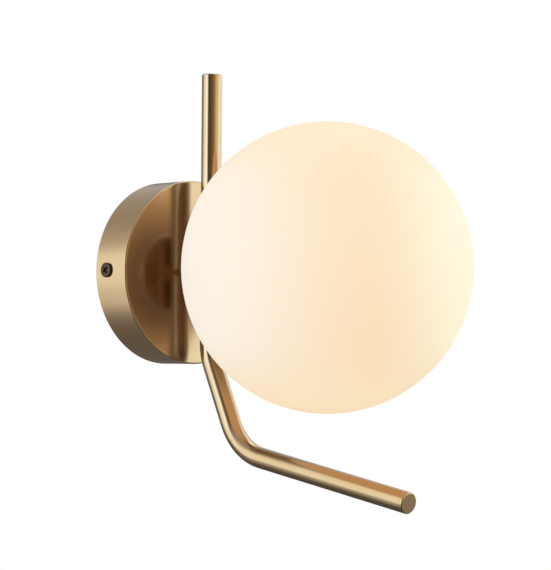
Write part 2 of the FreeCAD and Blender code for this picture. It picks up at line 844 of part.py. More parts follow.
def make_holder_contacts():
    """A brass contact at the foot of each pin slot."""
    contacts = []
    floor = bulb_seat_depth - pin_slot_depth
    half = pin_slot_width / 2
    for pin_x in pin_sides():
        contacts.append(block(pin_x - half + contact_thickness, pin_x + half - contact_thickness,
                              floor, floor + contact_thickness, -half, half))
    return Part.makeCompound(contacts)


# Bulb

def make_bulb_base():
    """Foot of the bulb: an oblong plug under a round collar."""
    plug = oblong(holder_recess_length - 2 * bulb_clearance, holder_recess_width - 2 * bulb_clearance,
                  bulb_seat_depth, bulb_collar_depth)
    collar = round_bar(bulb_collar_diameter / 2, bulb_collar_depth, bulb_envelope_depth)
    return plug.fuse(collar).removeSplitter()


def bulb_envelope_body(radius, back, front, shoulder):
    """A capsule: a rounded shoulder at the back, a straight side and a domed front."""
    dome_depth = front - radius
    outline = [
        line(half_point(0, back), half_point(radius - shoulder, back)),
        arc_about(half_point(radius - shoulder, back + shoulder),
                  half_point(radius - shoulder, back), half_point(radius, back + shoulder)),
        line(half_point(radius, back + shoulder), half_point(radius, dome_depth)),
        arc_about(half_point(0, dome_depth), half_point(radius, dome_depth), half_point(0, front)),
        line(half_point(0, front), half_point(0, back)),
    ]
    return turned(outline)


def make_bulb_envelope():
    radius = bulb_diameter / 2
    front = bulb_envelope_depth + bulb_length
    shell = bulb_envelope_body(radius, bulb_envelope_depth, front, bulb_shoulder_radius)
    hollow = bulb_envelope_body(radius - bulb_wall, bulb_envelope_depth + bulb_wall,
                                front - bulb_wall, bulb_shoulder_radius - bulb_wall)
    return shell.cut(hollow)


def make_bulb_pins():
    """Two loop pins of bent wire under the foot of the bulb."""
    pins = []
    half = pin_loop_width / 2 - pin_wire / 2
    end = bulb_seat_depth - pin_length + pin_wire / 2
    for pin_x in pin_sides():
        down = at(pin_x, bulb_seat_depth, -half)
        bend_start = at(pin_x, end + half, -half)
        bend_middle = at(pin_x, end, 0)
        bend_end = at(pin_x, end + half, half)
        back = at(pin_x, bulb_seat_depth, half)
        path = Part.Wire([line(down, bend_start), arc(bend_start, bend_middle, bend_end),
                          line(bend_end, back)])
        pins.append(swept_round(path, pin_wire / 2))
    return Part.makeCompound(pins)


# Leads

def lead_entry(pole_x):
    """The end of a lead inside the clamp of its pole, and the point where it leaves the block."""
    clamped = at(pole_x, terminal_axis_depth, terminal_lift + terminal_wall + lead_diameter)
    below = at(pole_x, terminal_axis_depth, terminal_lift - lead_block_run)
    return [clamped, below]


def holder_lead(name, side, pole_x, swing_x):
    """One of the two leads from the terminal block, through the tube, to the lampholder."""
    pair_x = side * lead_pair_spacing / 2
    holder_x = side * holder_lead_spacing / 2
    middle_x = (pole_x + swing_x) / 2
    points = lead_entry(pole_x) + [
        at(middle_x, terminal_axis_depth - lead_sag, terminal_lift / 2),
        at(swing_x, terminal_axis_depth + lead_sag, lead_swing_rise),
        at(pair_x, tube_rear_depth - bush_flange - lead_rear_run, 0),
        at(pair_x, tube_front_depth + bush_flange + lead_front_run, 0),
        at(holder_x, holder_back_depth - lead_holder_run, 0),
        at(holder_x, holder_back_depth + holder_lead_hole_depth - lead_end_gap, 0),
    ]
    return lead(name, points, lead_diameter)


def make_live_lead():
    return holder_lead("live lead", -1, pole_places()[0], -live_swing)


def make_neutral_lead():
    return holder_lead("neutral lead", 1, pole_places()[1], neutral_swing)


def make_earth_lead():
    """Lead from the last pole of the terminal block to the tag on the earth screw."""
    lead_depth = earth_tag_depth() + earth_tag_thickness + lead_diameter / 2
    points = lead_entry(pole_places()[-1]) + [
        at(earth_screw_offset, lead_depth, earth_tag_reach + earth_lead_run),
        at(earth_screw_offset, lead_depth, earth_tag_reach - earth_lead_overlap),
    ]
    return lead("earth lead", points, lead_diameter)


# Every piece under the name of its node
pieces = {
    "wall_bracket": make_wall_bracket,
    "canopy": make_canopy,
    "side_screw_left": lambda: make_side_screw(-1),
    "side_screw_right": lambda: make_side_screw(1),
    "terminal_block": make_terminal_block,
    "terminal_clamps": make_terminal_clamps,
    "terminal_screws": make_terminal_screws,
    "terminal_block_screws": make_block_screws,
    "earth_tag": make_earth_tag,
    "earth_screw": make_earth_screw,
    "rod": make_rod,
    "rod_top_cap": make_top_cap,
    "rod_end_cap": make_end_cap,
    "rear_spacer": make_rear_spacer,
    "front_spacer": make_front_spacer,
    "threaded_tube": make_threaded_tube,
    "tube_bushes": make_tube_bushes,
    "canopy_washer": make_rear_washer,
    "canopy_nut": make_rear_nut,
    "fitter_nut": make_front_nut,
    "globe_fitter": make_fitter,
    "globe_gasket": make_gasket,
    "globe": make_globe,
    "holder_bracket": make_holder_bracket,
    "holder_screws": make_holder_screws,
    "lampholder": make_lampholder,
    "holder_contacts": make_holder_contacts,
    "bulb_base": make_bulb_base,
    "bulb_envelope": make_bulb_envelope,
    "bulb_pins": make_bulb_pins,
    "live_lead": make_live_lead,
    "neutral_lead": make_neutral_lead,
    "earth_lead": make_earth_lead,
}


def main():
    os.makedirs("parts", exist_ok=True)
    for name, make in pieces.items():
        shape = make()
        if not shape.isValid() or not shape.Solids:
            raise RuntimeError(f"{name} isn't a sound solid")
        shape.exportStep(f"parts/{name}.step")
        print(f"{name}: {len(shape.Solids)} solid, {shape.Volume:.1f} mm3")


main()
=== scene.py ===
import math
from typing import NamedTuple

import bmesh
import bpy
from bpy.props import FloatProperty, FloatVectorProperty, PointerProperty
from mathutils import Matrix, Vector


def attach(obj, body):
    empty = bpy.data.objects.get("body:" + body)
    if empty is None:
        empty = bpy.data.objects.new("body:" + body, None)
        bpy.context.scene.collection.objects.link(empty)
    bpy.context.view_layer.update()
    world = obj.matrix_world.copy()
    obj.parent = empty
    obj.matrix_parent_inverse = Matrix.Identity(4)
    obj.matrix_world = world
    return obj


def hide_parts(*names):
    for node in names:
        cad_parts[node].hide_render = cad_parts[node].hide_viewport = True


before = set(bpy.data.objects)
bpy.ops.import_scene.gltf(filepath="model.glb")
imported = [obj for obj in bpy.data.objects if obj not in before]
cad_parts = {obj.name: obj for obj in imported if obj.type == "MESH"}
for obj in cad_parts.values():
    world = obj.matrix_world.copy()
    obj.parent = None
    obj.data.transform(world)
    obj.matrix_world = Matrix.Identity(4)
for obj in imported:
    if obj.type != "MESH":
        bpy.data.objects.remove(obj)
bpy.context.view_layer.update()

# Looks of a globe wall light on a bent brass rod. Everything is in metres, in the frame of
# the CAD model: X runs along the wall, Z is up and the light stands out towards -Y. A
# "depth" is the distance out from the wall, so it lies at Y = -depth.

bl_info = {
    "name": "Globe wall light",
    "version": (1, 0, 0),
    "blender": (4, 5, 0),
    "location": "3D Viewport > Sidebar > Wall light",
    "description": "Builds the looks of a globe wall light around its CAD model",
    "category": "Object",
}

MM = 0.001
forward = Vector((0, -1, 0))
upward = Vector((0, 0, 1))


# Settings

def size(name, description, millimetres):
    """A length that the user can change."""
    return FloatProperty(name=name, description=description, default=millimetres * MM, min=0.0,
                         precision=5, unit="LENGTH")


def turn(name, description, degrees):
    """An angle that the user can change."""
    return FloatProperty(name=name, description=description, default=math.radians(degrees),
                         subtype="ANGLE", unit="ROTATION")


def share(name, description, default):
    """A number from 0 to 1 that the user can change."""
    return FloatProperty(name=name, description=description, default=default, min=0.0, max=1.0,
                         subtype="FACTOR")


def colour(name, description, default):
    """A colour that the user can change, in linear light."""
    return FloatVectorProperty(name=name, description=description, default=default, size=3,
                               min=0.0, max=1.0, subtype="COLOR")


class CanopySizes(bpy.types.PropertyGroup):
    diameter: size("Diameter", "Outside diameter of the canopy", 100.0)
    depth: size("Depth", "How far its face stands out from the wall", 24.0)
    wall: size("Wall", "Thickness of the brass sheet", 1.0)
    edge: size("Edge radius", "Rounding between rim and face", 1.0)
    centre_hole: size("Centre hole", "Diameter of the hole for the threaded tube", 8.4)
    side_hole: size("Side hole", "Diameter of the holes for the side screws", 4.6)
    side_hole_depth: size("Side hole depth", "Distance of the side holes from the wall", 9.0)


class RodSizes(bpy.types.PropertyGroup):
    diameter: size("Diameter", "Outside diameter of the rod", 11.0)
    wall: size("Wall", "Wall thickness of the tube", 1.0)
    axis_depth: size("Axis depth", "Distance of the upright part's axis from the wall", 36.5)
    top_height: size("Top height", "Height of the rod's top end above the canopy's axis", 107.3)
    upper_corner: size("Upper corner", "How far the first bend lies below the axis", 44.7)
    lower_corner: size("Lower corner", "How far the second bend lies below the axis", 96.4)
    upper_tilt: turn("Upper tilt", "Tilt of the short leg from the vertical", 25.0)
    lower_tilt: turn("Lower tilt", "Tilt of the long leg from the vertical", 80.0)
    leg_length: size("Leg length", "Length of the long leg", 123.9)
    bend_radius: size("Bend radius", "Radius of the rod's centre line in its bends", 32.0)
    top_cap: size("Top cap", "Length of the cap on the top end", 9.0)
    end_cap: size("End cap", "Length of the cap on the front end", 2.0)
    cap_edge: size("Cap edge radius", "Rounding round the end of each cap", 0.6)
    seam: size("Seam", "Rounding on both sides of the joint at the front end", 0.05)
    spigot: size("Spigot", "How far the spigot of each cap reaches into the tube", 8.0)
    spigot_gap: size("Spigot gap", "Clearance round the spigot of each cap", 0.05)
    cross_hole: size("Cross hole", "Diameter of the hole for the threaded tube", 8.2)
    spacer_diameter: size("Spacer diameter", "Diameter of the spacers before and behind the rod", 10.5)


class FitterSizes(bpy.types.PropertyGroup):
    back_depth: size("Back depth", "Distance of its back from the wall", 43.0)
    length: size("Length", "Length of the cup from back to lip", 8.0)
    plate: size("Plate", "Thickness of the plate that the tube clamps", 1.5)
    wall: size("Wall", "Thickness of the threaded wall", 2.2)
    inside_diameter: size("Inside diameter", "Inside diameter, which clears the neck", 38.6)
    thread: size("Thread depth", "Depth of the thread inside the wall", 0.5)
    back_edge: size("Back edge", "Rounding round the back of the cup", 2.4)
    lip: size("Lip", "Rounding outside the lip", 0.5)
    inner_lip: size("Inner lip", "Rounding inside the lip", 0.3)


class GlobeSizes(bpy.types.PropertyGroup):
    diameter: size("Diameter", "Outside diameter of the glass", 150.0)
    wall: size("Wall", "Thickness of the glass", 2.5)
    centre_depth: size("Centre depth", "Distance of the globe's centre from the wall", 125.1)
    neck_diameter: size("Neck diameter", "Outside diameter of the threaded neck", 38.0)
    neck_bore: size("Neck bore", "Inside diameter of the neck", 32.0)
    neck_depth: size("Neck depth", "Distance of the neck's end from the wall", 45.5)
    lip: size("Lip radius", "Rounding at the end of the neck", 0.8)
    fillet: size("Fillet", "Rounding between the neck and the globe", 2.0)
    pitch: size("Thread pitch", "Pitch of the moulded thread on the neck", 2.2)
    thread: size("Thread depth", "Depth of the moulded thread on the neck", 0.5)


class ScrewSizes(bpy.types.PropertyGroup):
    diameter: size("Diameter", "Nominal diameter of the side screws", 4.0)
    head: size("Head", "Diameter of the pan head", 8.0)
    head_height: size("Head height", "How far the pan head stands out", 1.3)
    length: size("Length", "Length under the head", 10.0)
    pitch: size("Pitch", "Pitch of the thread", 0.7)
    thread: size("Thread depth", "Depth of the thread", 0.38)
    recess: size("Recess", "Length across the cross recess", 4.7)
    recess_width: size("Recess width", "Width of each arm of the cross recess", 1.3)
    recess_depth: size("Recess depth", "Depth of the cross recess", 1.0)
    recess_turn: turn("Recess turn", "How far the tightened screw has turned its recess", 40.0)


class TubeSizes(bpy.types.PropertyGroup):
    diameter: size("Diameter", "Outside diameter of the threaded tube", 8.0)
    bore: size("Bore", "Inside diameter of the threaded tube", 5.6)
    rear_depth: size("Rear depth", "Distance of its rear end from the wall", 15.0)
    front_depth: size("Front depth", "Distance of its front end from the wall", 50.0)
    pitch: size("Pitch", "Pitch of the thread", 1.0)
    thread: size("Thread depth", "Depth of the thread", 0.5)


class Finishes(bpy.types.PropertyGroup):
    brass: colour("Brass", "Satin brass of canopy, rod and fitter", (0.93, 0.785, 0.53))
    brass_aged: colour("Aged brass", "Darker tone in the brass", (0.88, 0.72, 0.46))
    turned_roughness: share("Turned roughness", "Roughness of the turned brass", 0.16)
    drawn_roughness: share("Drawn roughness", "Roughness of the drawn brass", 0.11)
    glass: colour("Opal glass", "Body colour of the opal glass", (0.36, 0.35, 0.33))
    # Glows of the lit glass, with painted light that makes it paler to both sides across the globe
    rear_glow: colour("Rear glow", "Lit glass on the side towards the wall", (0.717, 0.623, 0.523))
    warm_glow: colour("Warm glow", "Lit glass where it is warmest", (0.693, 0.485, 0.25))
    front_glow: colour("Front glow", "Lit glass on the free side", (0.736, 0.662, 0.457))
    pole_glow: colour("Glow at the poles", "Lit glass at the top and bottom", (0.72, 0.54, 0.31))
    screw: colour("Screw", "Black oxide on the side screws", (0.17, 0.145, 0.115))
    steel: colour("Steel", "Zinc plated steel", (0.62, 0.63, 0.64))
    bare_brass: colour("Bare brass", "Turned brass of contacts and clamps", (0.83, 0.66, 0.34))
    tin: colour("Tin", "Tinned copper", (0.72, 0.71, 0.69))
    plastic: colour("Plastic", "White moulded plastic", (0.80, 0.80, 0.78))
    ceramic: colour("Ceramic", "Unglazed body of the lampholder", (0.80, 0.77, 0.70))
    silicone: colour("Silicone", "Gasket", (0.72, 0.72, 0.70))
    diffuser: colour("Diffuser", "Frosted envelope of the bulb", (0.62, 0.60, 0.56))
    bulb_glow: colour("Bulb glow", "Light of the bulb's envelope", (0.36, 0.30, 0.21))
    brown: colour("Brown lead", "Insulation of the live lead", (0.13, 0.05, 0.022))
    blue: colour("Blue lead", "Insulation of the neutral lead", (0.03, 0.12, 0.45))
    green: colour("Green lead", "Ground colour of the earth lead", (0.05, 0.26, 0.05))
    yellow: colour("Yellow stripe", "Stripes of the earth lead", (0.75, 0.60, 0.04))


class StudioSettings(bpy.types.PropertyGroup):
    azimuth: turn("Azimuth", "Side that the camera looks from", -44.23)
    elevation: turn("Elevation", "Height that the camera looks from", -1.99)
    roll: turn("Roll", "Turn of the camera about its own axis", 0.4)
    camera_x: size("Camera X", "Place of the camera along the wall, to the left", 819.05)
    camera_depth: size("Camera depth", "Distance of the camera from the wall", 928.47)
    camera_fall: size("Camera fall", "How far the camera lies below the axis", 48.94)
    focal_length: FloatProperty(name="Focal length", description="Focal length in millimetres",
                                default=141.14, min=1.0)
    floor_height: FloatProperty(name="Floor height", description="Height of the floor", default=-0.42,
                                unit="LENGTH")
    floor: colour("Floor", "Colour of the floor", (1.0, 1.0, 1.0))
    fill: share("Fill", "Even light from all sides", 0.80)


# Outlines and meshes

def rounded(corners, steps=6, closed=True):
    """Outline points from corners (radius, height, rounding); an open outline keeps its ends."""
    outline = []
    for index, (radius, height, rounding) in enumerate(corners):
        here = Vector((radius, height))
        is_end = not closed and index in (0, len(corners) - 1)
        if is_end or rounding == 0:
            outline.append(here)
            continue
        before = (Vector(corners[index - 1][:2]) - here).normalized()
        after = (Vector(corners[(index + 1) % len(corners)][:2]) - here).normalized()
        half = before.angle(after) / 2
        centre = here + (before + after).normalized() * rounding / math.sin(half)
        reach = rounding / math.tan(half)
        start = here + before * reach - centre
        end = here + after * reach - centre
        outline += [centre + start.slerp(end, step / steps) * rounding for step in range(steps + 1)]
    return outline


def arc(centre, radius, start, end, steps):
    """Outline points on an arc between two angles in degrees."""
    angles = [math.radians(start + (end - start) * step / steps) for step in range(steps + 1)]
    return [Vector((centre[0] + radius * math.cos(angle), centre[1] + radius * math.sin(angle)))
            for angle in angles]


def run(radius, start, end, spacing):
    """Outline points along a straight wall, close enough together for a thread."""
    steps = max(1, round(abs(end - start) / spacing))
    return [Vector((radius, start + (end - start) * step / steps)) for step in range(steps + 1)]


def round_angles(count):
    """Angles in even steps round a full turn."""
    return [2 * math.pi * index / count for index in range(count)]


class Thread(NamedTuple):
    """A thread on the wall of one radius, between two heights. A positive depth cuts outwards
    into the wall round a bore, a negative one inwards into a shank."""

    radius: float
    start: float
    end: float
    pitch: float
    depth: float

    def relief(self, radius, height, angle):
        """How far the wall moves at one place; the thread runs out at both of its ends."""
        is_wall = abs(radius - self.radius) <= 0.01 * MM
        if not is_wall or not self.start < height < self.end:
            return 0.0
        from_end = min(height - self.start, self.end - height)
        run_out = self.pitch / 1.5
        wave = 0.5 - 0.5 * math.cos(2 * math.pi * height / self.pitch - angle)
        return self.depth * min(1.0, from_end / run_out) * wave


def turned_rings(outline, segments, thread=None):
    """Rings of points about the local Z axis; a point on the axis is a ring of its own."""
    rings = []
    for radius, height in outline:
        if radius < 1e-7:
            rings.append([Vector((0, 0, height))])
            continue
        ring = []
        for angle in round_angles(segments):
            reach = radius + (thread.relief(radius, height, angle) if thread else 0.0)
            ring.append(Vector((reach * math.cos(angle), reach * math.sin(angle), height)))
        rings.append(ring)
    return rings


def bridge(mesh, low, high):
    """Faces between two rings, either of which may be a single point."""
    count = max(len(low), len(high))
    for index in range(count):
        after = (index + 1) % count
        corners = [low[index % len(low)], low[after % len(low)]]
        corners += [high[after % len(high)], high[index % len(high)]]
        mesh.faces.new(list(dict.fromkeys(corners)))


def placed(name, data):
    """A new object of the scene, from its data."""
    made = bpy.data.objects.new(name, data)
    bpy.context.scene.collection.objects.link(made)
    return made


def skin(name, rings, closed=True, sharp=35.0):
    """A mesh object from rings of points: closed like a hoop, or with both ends capped."""
    mesh = bmesh.new()
    layers = [[mesh.verts.new(point) for point in ring] for ring in rings]
    pairs = list(zip(layers, layers[1:]))
    if closed:
        pairs.append((layers[-1], layers[0]))
    for low, high in pairs:
        bridge(mesh, low, high)
    if not closed:
        for end in (layers[0], layers[-1]):
            if len(end) > 1:
                mesh.faces.new(end)
    bmesh.ops.recalc_face_normals(mesh, faces=mesh.faces)
    data = bpy.data.meshes.new(name)
    mesh.to_mesh(data)
    mesh.free()
    shape = placed(name, data)
    smooth(shape, sharp)
    return shape


def smooth(shape, sharp):
    """Smooth shading that keeps edges sharper than an angle in degrees."""
    shape.data.shade_smooth()
    shape.data.set_sharp_from_angle(angle=math.radians(sharp))


def set_in_place(shape, direction, origin=(0, 0, 0)):
    """Turn a mesh made along +Z to a direction, with its own origin at a point."""
    turned = Vector(direction).to_track_quat("Z", "Y").to_matrix().to_4x4()
    shape.data.transform(Matrix.Translation(origin) @ turned)
    return shape


def along(direction, radius, start, end, origin=(0, 0, 0)):
    """A plain bar that serves only to cut a hole."""
    outline = [Vector((0, start)), Vector((radius, start)), Vector((radius, end)), Vector((0, end))]
    bar = skin("cutter", turned_rings(outline, 64), closed=False)
    return set_in_place(bar, direction, origin)


def cut(shape, tools, sharp=35.0):
    """Cut tools out of a shape and delete the tools."""
    for tool in tools:
        step = shape.modifiers.new("Cut", "BOOLEAN")
        step.operation = "DIFFERENCE"
        step.solver = "EXACT"
        step.object = tool
    bpy.context.view_layer.update()
    graph = bpy.context.evaluated_depsgraph_get()
    result = bpy.data.meshes.new_from_object(shape.evaluated_get(graph))
    shape.modifiers.clear()
    before = shape.data
    result.name = before.name + "_cut"
    shape.data = result
    bpy.data.meshes.remove(before)
    for tool in tools:
        data = tool.data
        bpy.data.objects.remove(tool)
        bpy.data.meshes.remove(data)
    smooth(shape, sharp)
    return shape


def even_shading(shape):
    """Large faces lead the shading, so that small roundings look round and flats look flat."""
    step = shape.modifiers.new("Even shading", "WEIGHTED_NORMAL")
    step.keep_sharp = True
    step.weight = 80


def hand_over(shape, body, slot, material, *nodes):
    """Give a piece its finish and its body, and let it stand for its CAD nodes."""
    shape.data.materials.clear()
    shape.data.materials.append(material)
    for face in shape.data.polygons:
        face.material_index = 0
    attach(shape, body)
    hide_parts(*nodes)


def hand_over_brass(shape, brass, node):
    """Hand over a brass piece, with shading that follows its large faces."""
    even_shading(shape)
    hand_over(shape, "fixture", "brushed_brass", brass, node)


def dress(material, *nodes):
    """Give CAD nodes a finish."""
    for node in nodes:
        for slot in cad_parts[node].material_slots:
            slot.material = material


# Line of the rod

def leg_direction(tilt):
    """Direction of a leg that leans out from the vertical."""
    return Vector((0, -math.sin(tilt), -math.cos(tilt)))


def rod_corners(rod):
    """Corner points of the rod's centre line, from its top end to its front end."""
    upper = Vector((0, -rod.axis_depth, -rod.upper_corner))
    fall = rod.lower_corner - rod.upper_corner
    lower = upper + leg_direction(rod.upper_tilt) * fall / math.cos(rod.upper_tilt)
    front = lower + leg_direction(rod.lower_tilt) * rod.leg_length
    return [Vector((0, -rod.axis_depth, rod.top_height)), upper, lower, front]


def bent_line(corners, bend_radius, steps):
    """Stations along a bent line, each a point, its direction and the length up to it."""
    direction = (corners[1] - corners[0]).normalized()
    stations = [(corners[0], direction, 0.0)]
    for corner, following in zip(corners[1:-1], corners[2:]):
        onward = (following - corner).normalized()
        bend = direction.angle(onward)
        start = corner - direction * bend_radius * math.tan(bend / 2)
        inward = (onward - direction * direction.dot(onward)).normalized()
        reached = stations[-1][2] + (start - stations[-1][0]).length
        for step in range(steps + 1):
            angle = bend * step / steps
            offset = inward * (1 - math.cos(angle)) + direction * math.sin(angle)
            heading = direction * math.cos(angle) + inward * math.sin(angle)
            stations.append((start + offset * bend_radius, heading, reached + bend_radius * angle))
        direction = onward
    length = stations[-1][2] + (corners[-1] - stations[-1][0]).length
    stations.append((corners[-1], direction, length))
    return stations


def ring_round(station, radius, segments):
    """A ring of points round a station of the rod's line, which lies in the plane X = 0."""
    point, direction, _ = station
    side = Vector((1, 0, 0))
    lift = direction.cross(side)
    return [point + (side * math.cos(angle) + lift * math.sin(angle)) * radius
            for angle in round_angles(segments)]


def moved(station, distance):
    """The same station, further along its own direction."""
    point, direction, length = station
    return (point + direction * distance, direction, length + distance)


def store_draw_lines(shape, places):
    """Store where each point lies across and along the straight tube, for brushing along it."""
    lines = shape.data.attributes.new("draw_lines", "FLOAT_VECTOR", "POINT")
    lines.data.foreach_set("vector", [part for place in places for part in place])


# Shader maths

def sum_method(operation, swapped=False):
    """A method that adds the Math node of one kind of sum."""

    def method(self, other):
        first, second = (other, self) if swapped else (self, other)
        return self.tree.maths(operation, first, second)

    return method


class Value:
    """A socket of a node tree. Sums on it add Math nodes, also with a plain number on the left."""

    def __init__(self, tree, socket):
        self.tree = tree
        self.socket = socket

    def other(self, name):
        """Another output of the same node."""
        return Value(self.tree, self.socket.node.outputs[name])

    __add__ = sum_method("ADD")
    __sub__ = sum_method("SUBTRACT")
    __mul__ = sum_method("MULTIPLY")
    __truediv__ = sum_method("DIVIDE")
    __pow__ = sum_method("POWER")
    __radd__ = sum_method("ADD", swapped=True)
    __rsub__ = sum_method("SUBTRACT", swapped=True)
    __rmul__ = sum_method("MULTIPLY", swapped=True)


def set_stops(ramp, stops):
    """Give a colour ramp its stops, each a place from 0 to 1 and a colour or a grey."""
    while len(ramp.elements) < len(stops):
        ramp.elements.new(1.0)
    for element, (place, tone) in zip(ramp.elements, stops):
        element.position = place
        element.color = (tone, tone, tone, 1.0) if isinstance(tone, float) else (*tone, 1.0)


# Painted shade that brass shows deep in its reflections, warm and dim, and how much of it the first,
# second and third reflection show, each at its place among four
DEEP_REFLECTION_SHADE = (0.115, 0.08, 0.10)
DEEPEST = 4
DEEP_SHARES = [(1 / DEEPEST, 0.0), (2 / DEEPEST, 0.66), (3 / DEEPEST, 0.92)]


class Tree:
    """The node tree of a material or of the world, built one node at a time."""

    def __init__(self, owner):
        owner.use_nodes = True
        self.nodes = owner.node_tree.nodes
        self.links = owner.node_tree.links
        self.nodes.clear()

    def node(self, kind, settings=None, values=None, output=0):
        """Add a node: its settings first, then the values or links of its sockets."""
        node = self.nodes.new(kind)
        for name, setting in (settings or {}).items():
            if name == "stops":
                set_stops(node.color_ramp, setting)
            elif name == "interpolation":
                node.color_ramp.interpolation = setting
            else:
                setattr(node, name, setting)
        for name, value in (values or {}).items():
            if isinstance(value, Value):
                self.links.new(value.socket, node.inputs[name])
            else:
                node.inputs[name].default_value = value
        return Value(self, node.outputs[output]) if node.outputs else None

    def maths(self, operation, first, second=0.0):
        """A number from one or two others."""
        return self.node("ShaderNodeMath", {"operation": operation}, {0: first, 1: second})

    def mix(self, factor, first, second):
        """A colour between two colours."""
        values = {0: factor, 6: rgba(first), 7: rgba(second)}
        return self.node("ShaderNodeMix", {"data_type": "RGBA"}, values, output=2)

    def tinted(self, first, second):
        """One colour multiplied by another."""
        return self.node("ShaderNodeVectorMath", {"operation": "MULTIPLY"},
                         {0: plain(first), 1: plain(second)})

    def place(self):
        """The place of a point in the frame of the light."""
        return self.node("ShaderNodeTexCoord", output="Object")

    def vector(self, x, y, z):
        """A vector from its three parts."""
        return self.node("ShaderNodeCombineXYZ", values={0: x, 1: y, 2: z})

    def split(self, vector):
        """The three parts of a vector."""
        x = self.node("ShaderNodeSeparateXYZ", values={0: vector})
        return x, x.other("Y"), x.other("Z")

    def noise(self, vector, scale, detail=2.0, roughness=0.5):
        """Noise from 0 to 1, with about as many waves to a metre as its scale says."""
        values = {"Vector": vector, "Scale": scale, "Detail": detail, "Roughness": roughness}
        return self.node("ShaderNodeTexNoise", values=values)

    def ramp(self, value, stops, interpolation="LINEAR"):
        """A colour that follows a value through its stops."""
        settings = {"stops": stops, "interpolation": interpolation}
        return self.node("ShaderNodeValToRGB", settings, {0: value})

    def echo(self, tone):
        """A tone with painted shade that turns it warm and dim in reflections of reflections."""
        depth = self.node("ShaderNodeLightPath", output="Glossy Depth")
        return self.mix(self.ramp(depth / DEEPEST, DEEP_SHARES), tone, DEEP_REFLECTION_SHADE)

    def bump(self, height, distance, strength):
        """A relief for the Normal socket: its height from 0 to 1 and its depth in metres."""
        values = {"Height": height, "Distance": distance, "Strength": strength}
        return self.node("ShaderNodeBump", values=values)

    def direction_towards(self, vector, direction):
        """How closely a vector follows a fixed direction."""
        return self.node("ShaderNodeVectorMath", {"operation": "DOT_PRODUCT"},
                         {0: vector, 1: tuple(direction)}, output="Value")


def rgba(tone):
    """A colour with its alpha, or a socket as it is."""
    return tone if isinstance(tone, Value) else (*tuple(tone)[:3], 1.0)


def plain(tone):
    """A colour as three numbers, or a socket as it is."""
    return tone if isinstance(tone, Value) else tuple(tone)[:3]


def surface(name, build):
    """A material whose function returns the values of its Principled shader."""
    material = bpy.data.materials.new(name)
    tree = Tree(material)
    shader = tree.node("ShaderNodeBsdfPrincipled", values=build(tree))
    tree.node("ShaderNodeOutputMaterial", values={"Surface": shader})
    return material


# Finishes

def brass_values(tree, finish, streaks, roughness):
    """Satin brass: fine brush streaks in gloss and relief over a slightly uneven tone."""
    place = tree.place()
    cloud = tree.noise(place, 38.0, 4.0, 0.6)
    speck = tree.noise(place, 900.0, 3.0, 0.7)
    tone = tree.mix(tree.ramp(cloud * 0.6 + streaks * 0.4, [(0.35, 0.0), (0.68, 1.0)]),
                    finish.brass_aged, finish.brass)
    return {
        "Base Color": tone,
        "Metallic": 1.0,
        "Roughness": roughness - 0.05 + streaks * 0.07 + cloud * 0.03 + speck * 0.02,
        "Normal": tree.bump(streaks * 0.9 + speck * 0.1, 0.008 * MM, 0.5),
    }


# How slowly brush streaks change along their length, and the radius on which a rim's are laid out
RIM_STRETCH = 0.02
TUBE_STRETCH = 0.018
RIM_RADIUS = 0.05


def turned_streaks(tree):
    """Streaks of a turned piece: along its axis on the rim, and round it on its faces."""
    x, y, z = tree.split(tree.place())
    radius = tree.maths("SQRT", x * x + z * z)
    on_rim = tree.vector(x / radius * RIM_RADIUS, y * RIM_STRETCH, z / radius * RIM_RADIUS)
    rim = tree.noise(on_rim, 9000.0, 3.0, 0.6)
    face = tree.noise(tree.vector(radius, y, 0.0), 5200.0, 3.0, 0.6)
    _, facing, _ = tree.split(tree.node("ShaderNodeNewGeometry", output="Normal"))
    on_face = tree.maths("ABSOLUTE", facing) ** 2.0
    return rim * (1 - on_face) + face * on_face


def drawn_streaks(tree):
    """Streaks along a drawn tube."""
    lines = tree.node("ShaderNodeAttribute", {"attribute_name": "draw_lines"}, output="Vector")
    x, y, length = tree.split(lines)
    return tree.noise(tree.vector(x, y, length * TUBE_STRETCH), 6000.0, 3.0, 0.6)


def turned_brass(finish):
    """Brass of the canopy, the spacers and the fitter."""

    def build(tree):
        return brass_values(tree, finish, turned_streaks(tree), finish.turned_roughness)

    return surface("satin_brass_turned", build)


# Painted shade on the rod's brass: how dark it is, from where it faces down at 0 to where it faces up at 1
PAINTED_UNDERSIDE_SHADE = [(0.26, 0.58), (0.35, 0.50), (0.41, 0.52), (0.49, 1.0)]


def drawn_brass(finish):
    """Brass of the rod and its caps, with painted shade that darkens it underneath."""

    def build(tree):
        values = brass_values(tree, finish, drawn_streaks(tree), finish.drawn_roughness)
        _, _, facing = tree.split(tree.node("ShaderNodeNewGeometry", output="Normal"))
        # Painted shade: the brass darkens where it faces down
        shade = tree.ramp(facing * 0.5 + 0.5, PAINTED_UNDERSIDE_SHADE)
        values["Base Color"] = tree.tinted(values["Base Color"], shade)
        return values

    return surface("satin_brass_drawn", build)


# The direction across the globe along which painted light changes its glow, from the wall to the free side
PAINTED_LIGHT_ACROSS = (0.7165, -0.6976, 0.10)

# How even the glow gets towards the poles, by the square of the height
EVENNESS = [(0.25, 0.0), (0.85, 1.0)]

# The tint of the glow, from the bottom to the top
GLOW_TINT = [(0.0, (1.0, 1.0, 1.0)), (1.0, (0.91, 0.95, 0.97))]

# Painted reflection of the globe in brass: its glow with painted shade from its middle to the neck at
# its rear pole, how much darker it gets from top to bottom, and the body colour of the glass there
PAINTED_GLOBE_REFLECTION = [
    (0.60, (0.51, 0.295, 0.16)),
    (0.76, (0.45, 0.28, 0.165)),
    (0.85, (0.31, 0.19, 0.105)),
    (0.95, (0.145, 0.078, 0.042)),
    (1.0, (0.06, 0.035, 0.02)),
]
PAINTED_SHADE_LEAN = 0.065
PAINTED_GLASS_REFLECTION = (0.02, 0.012, 0.008)


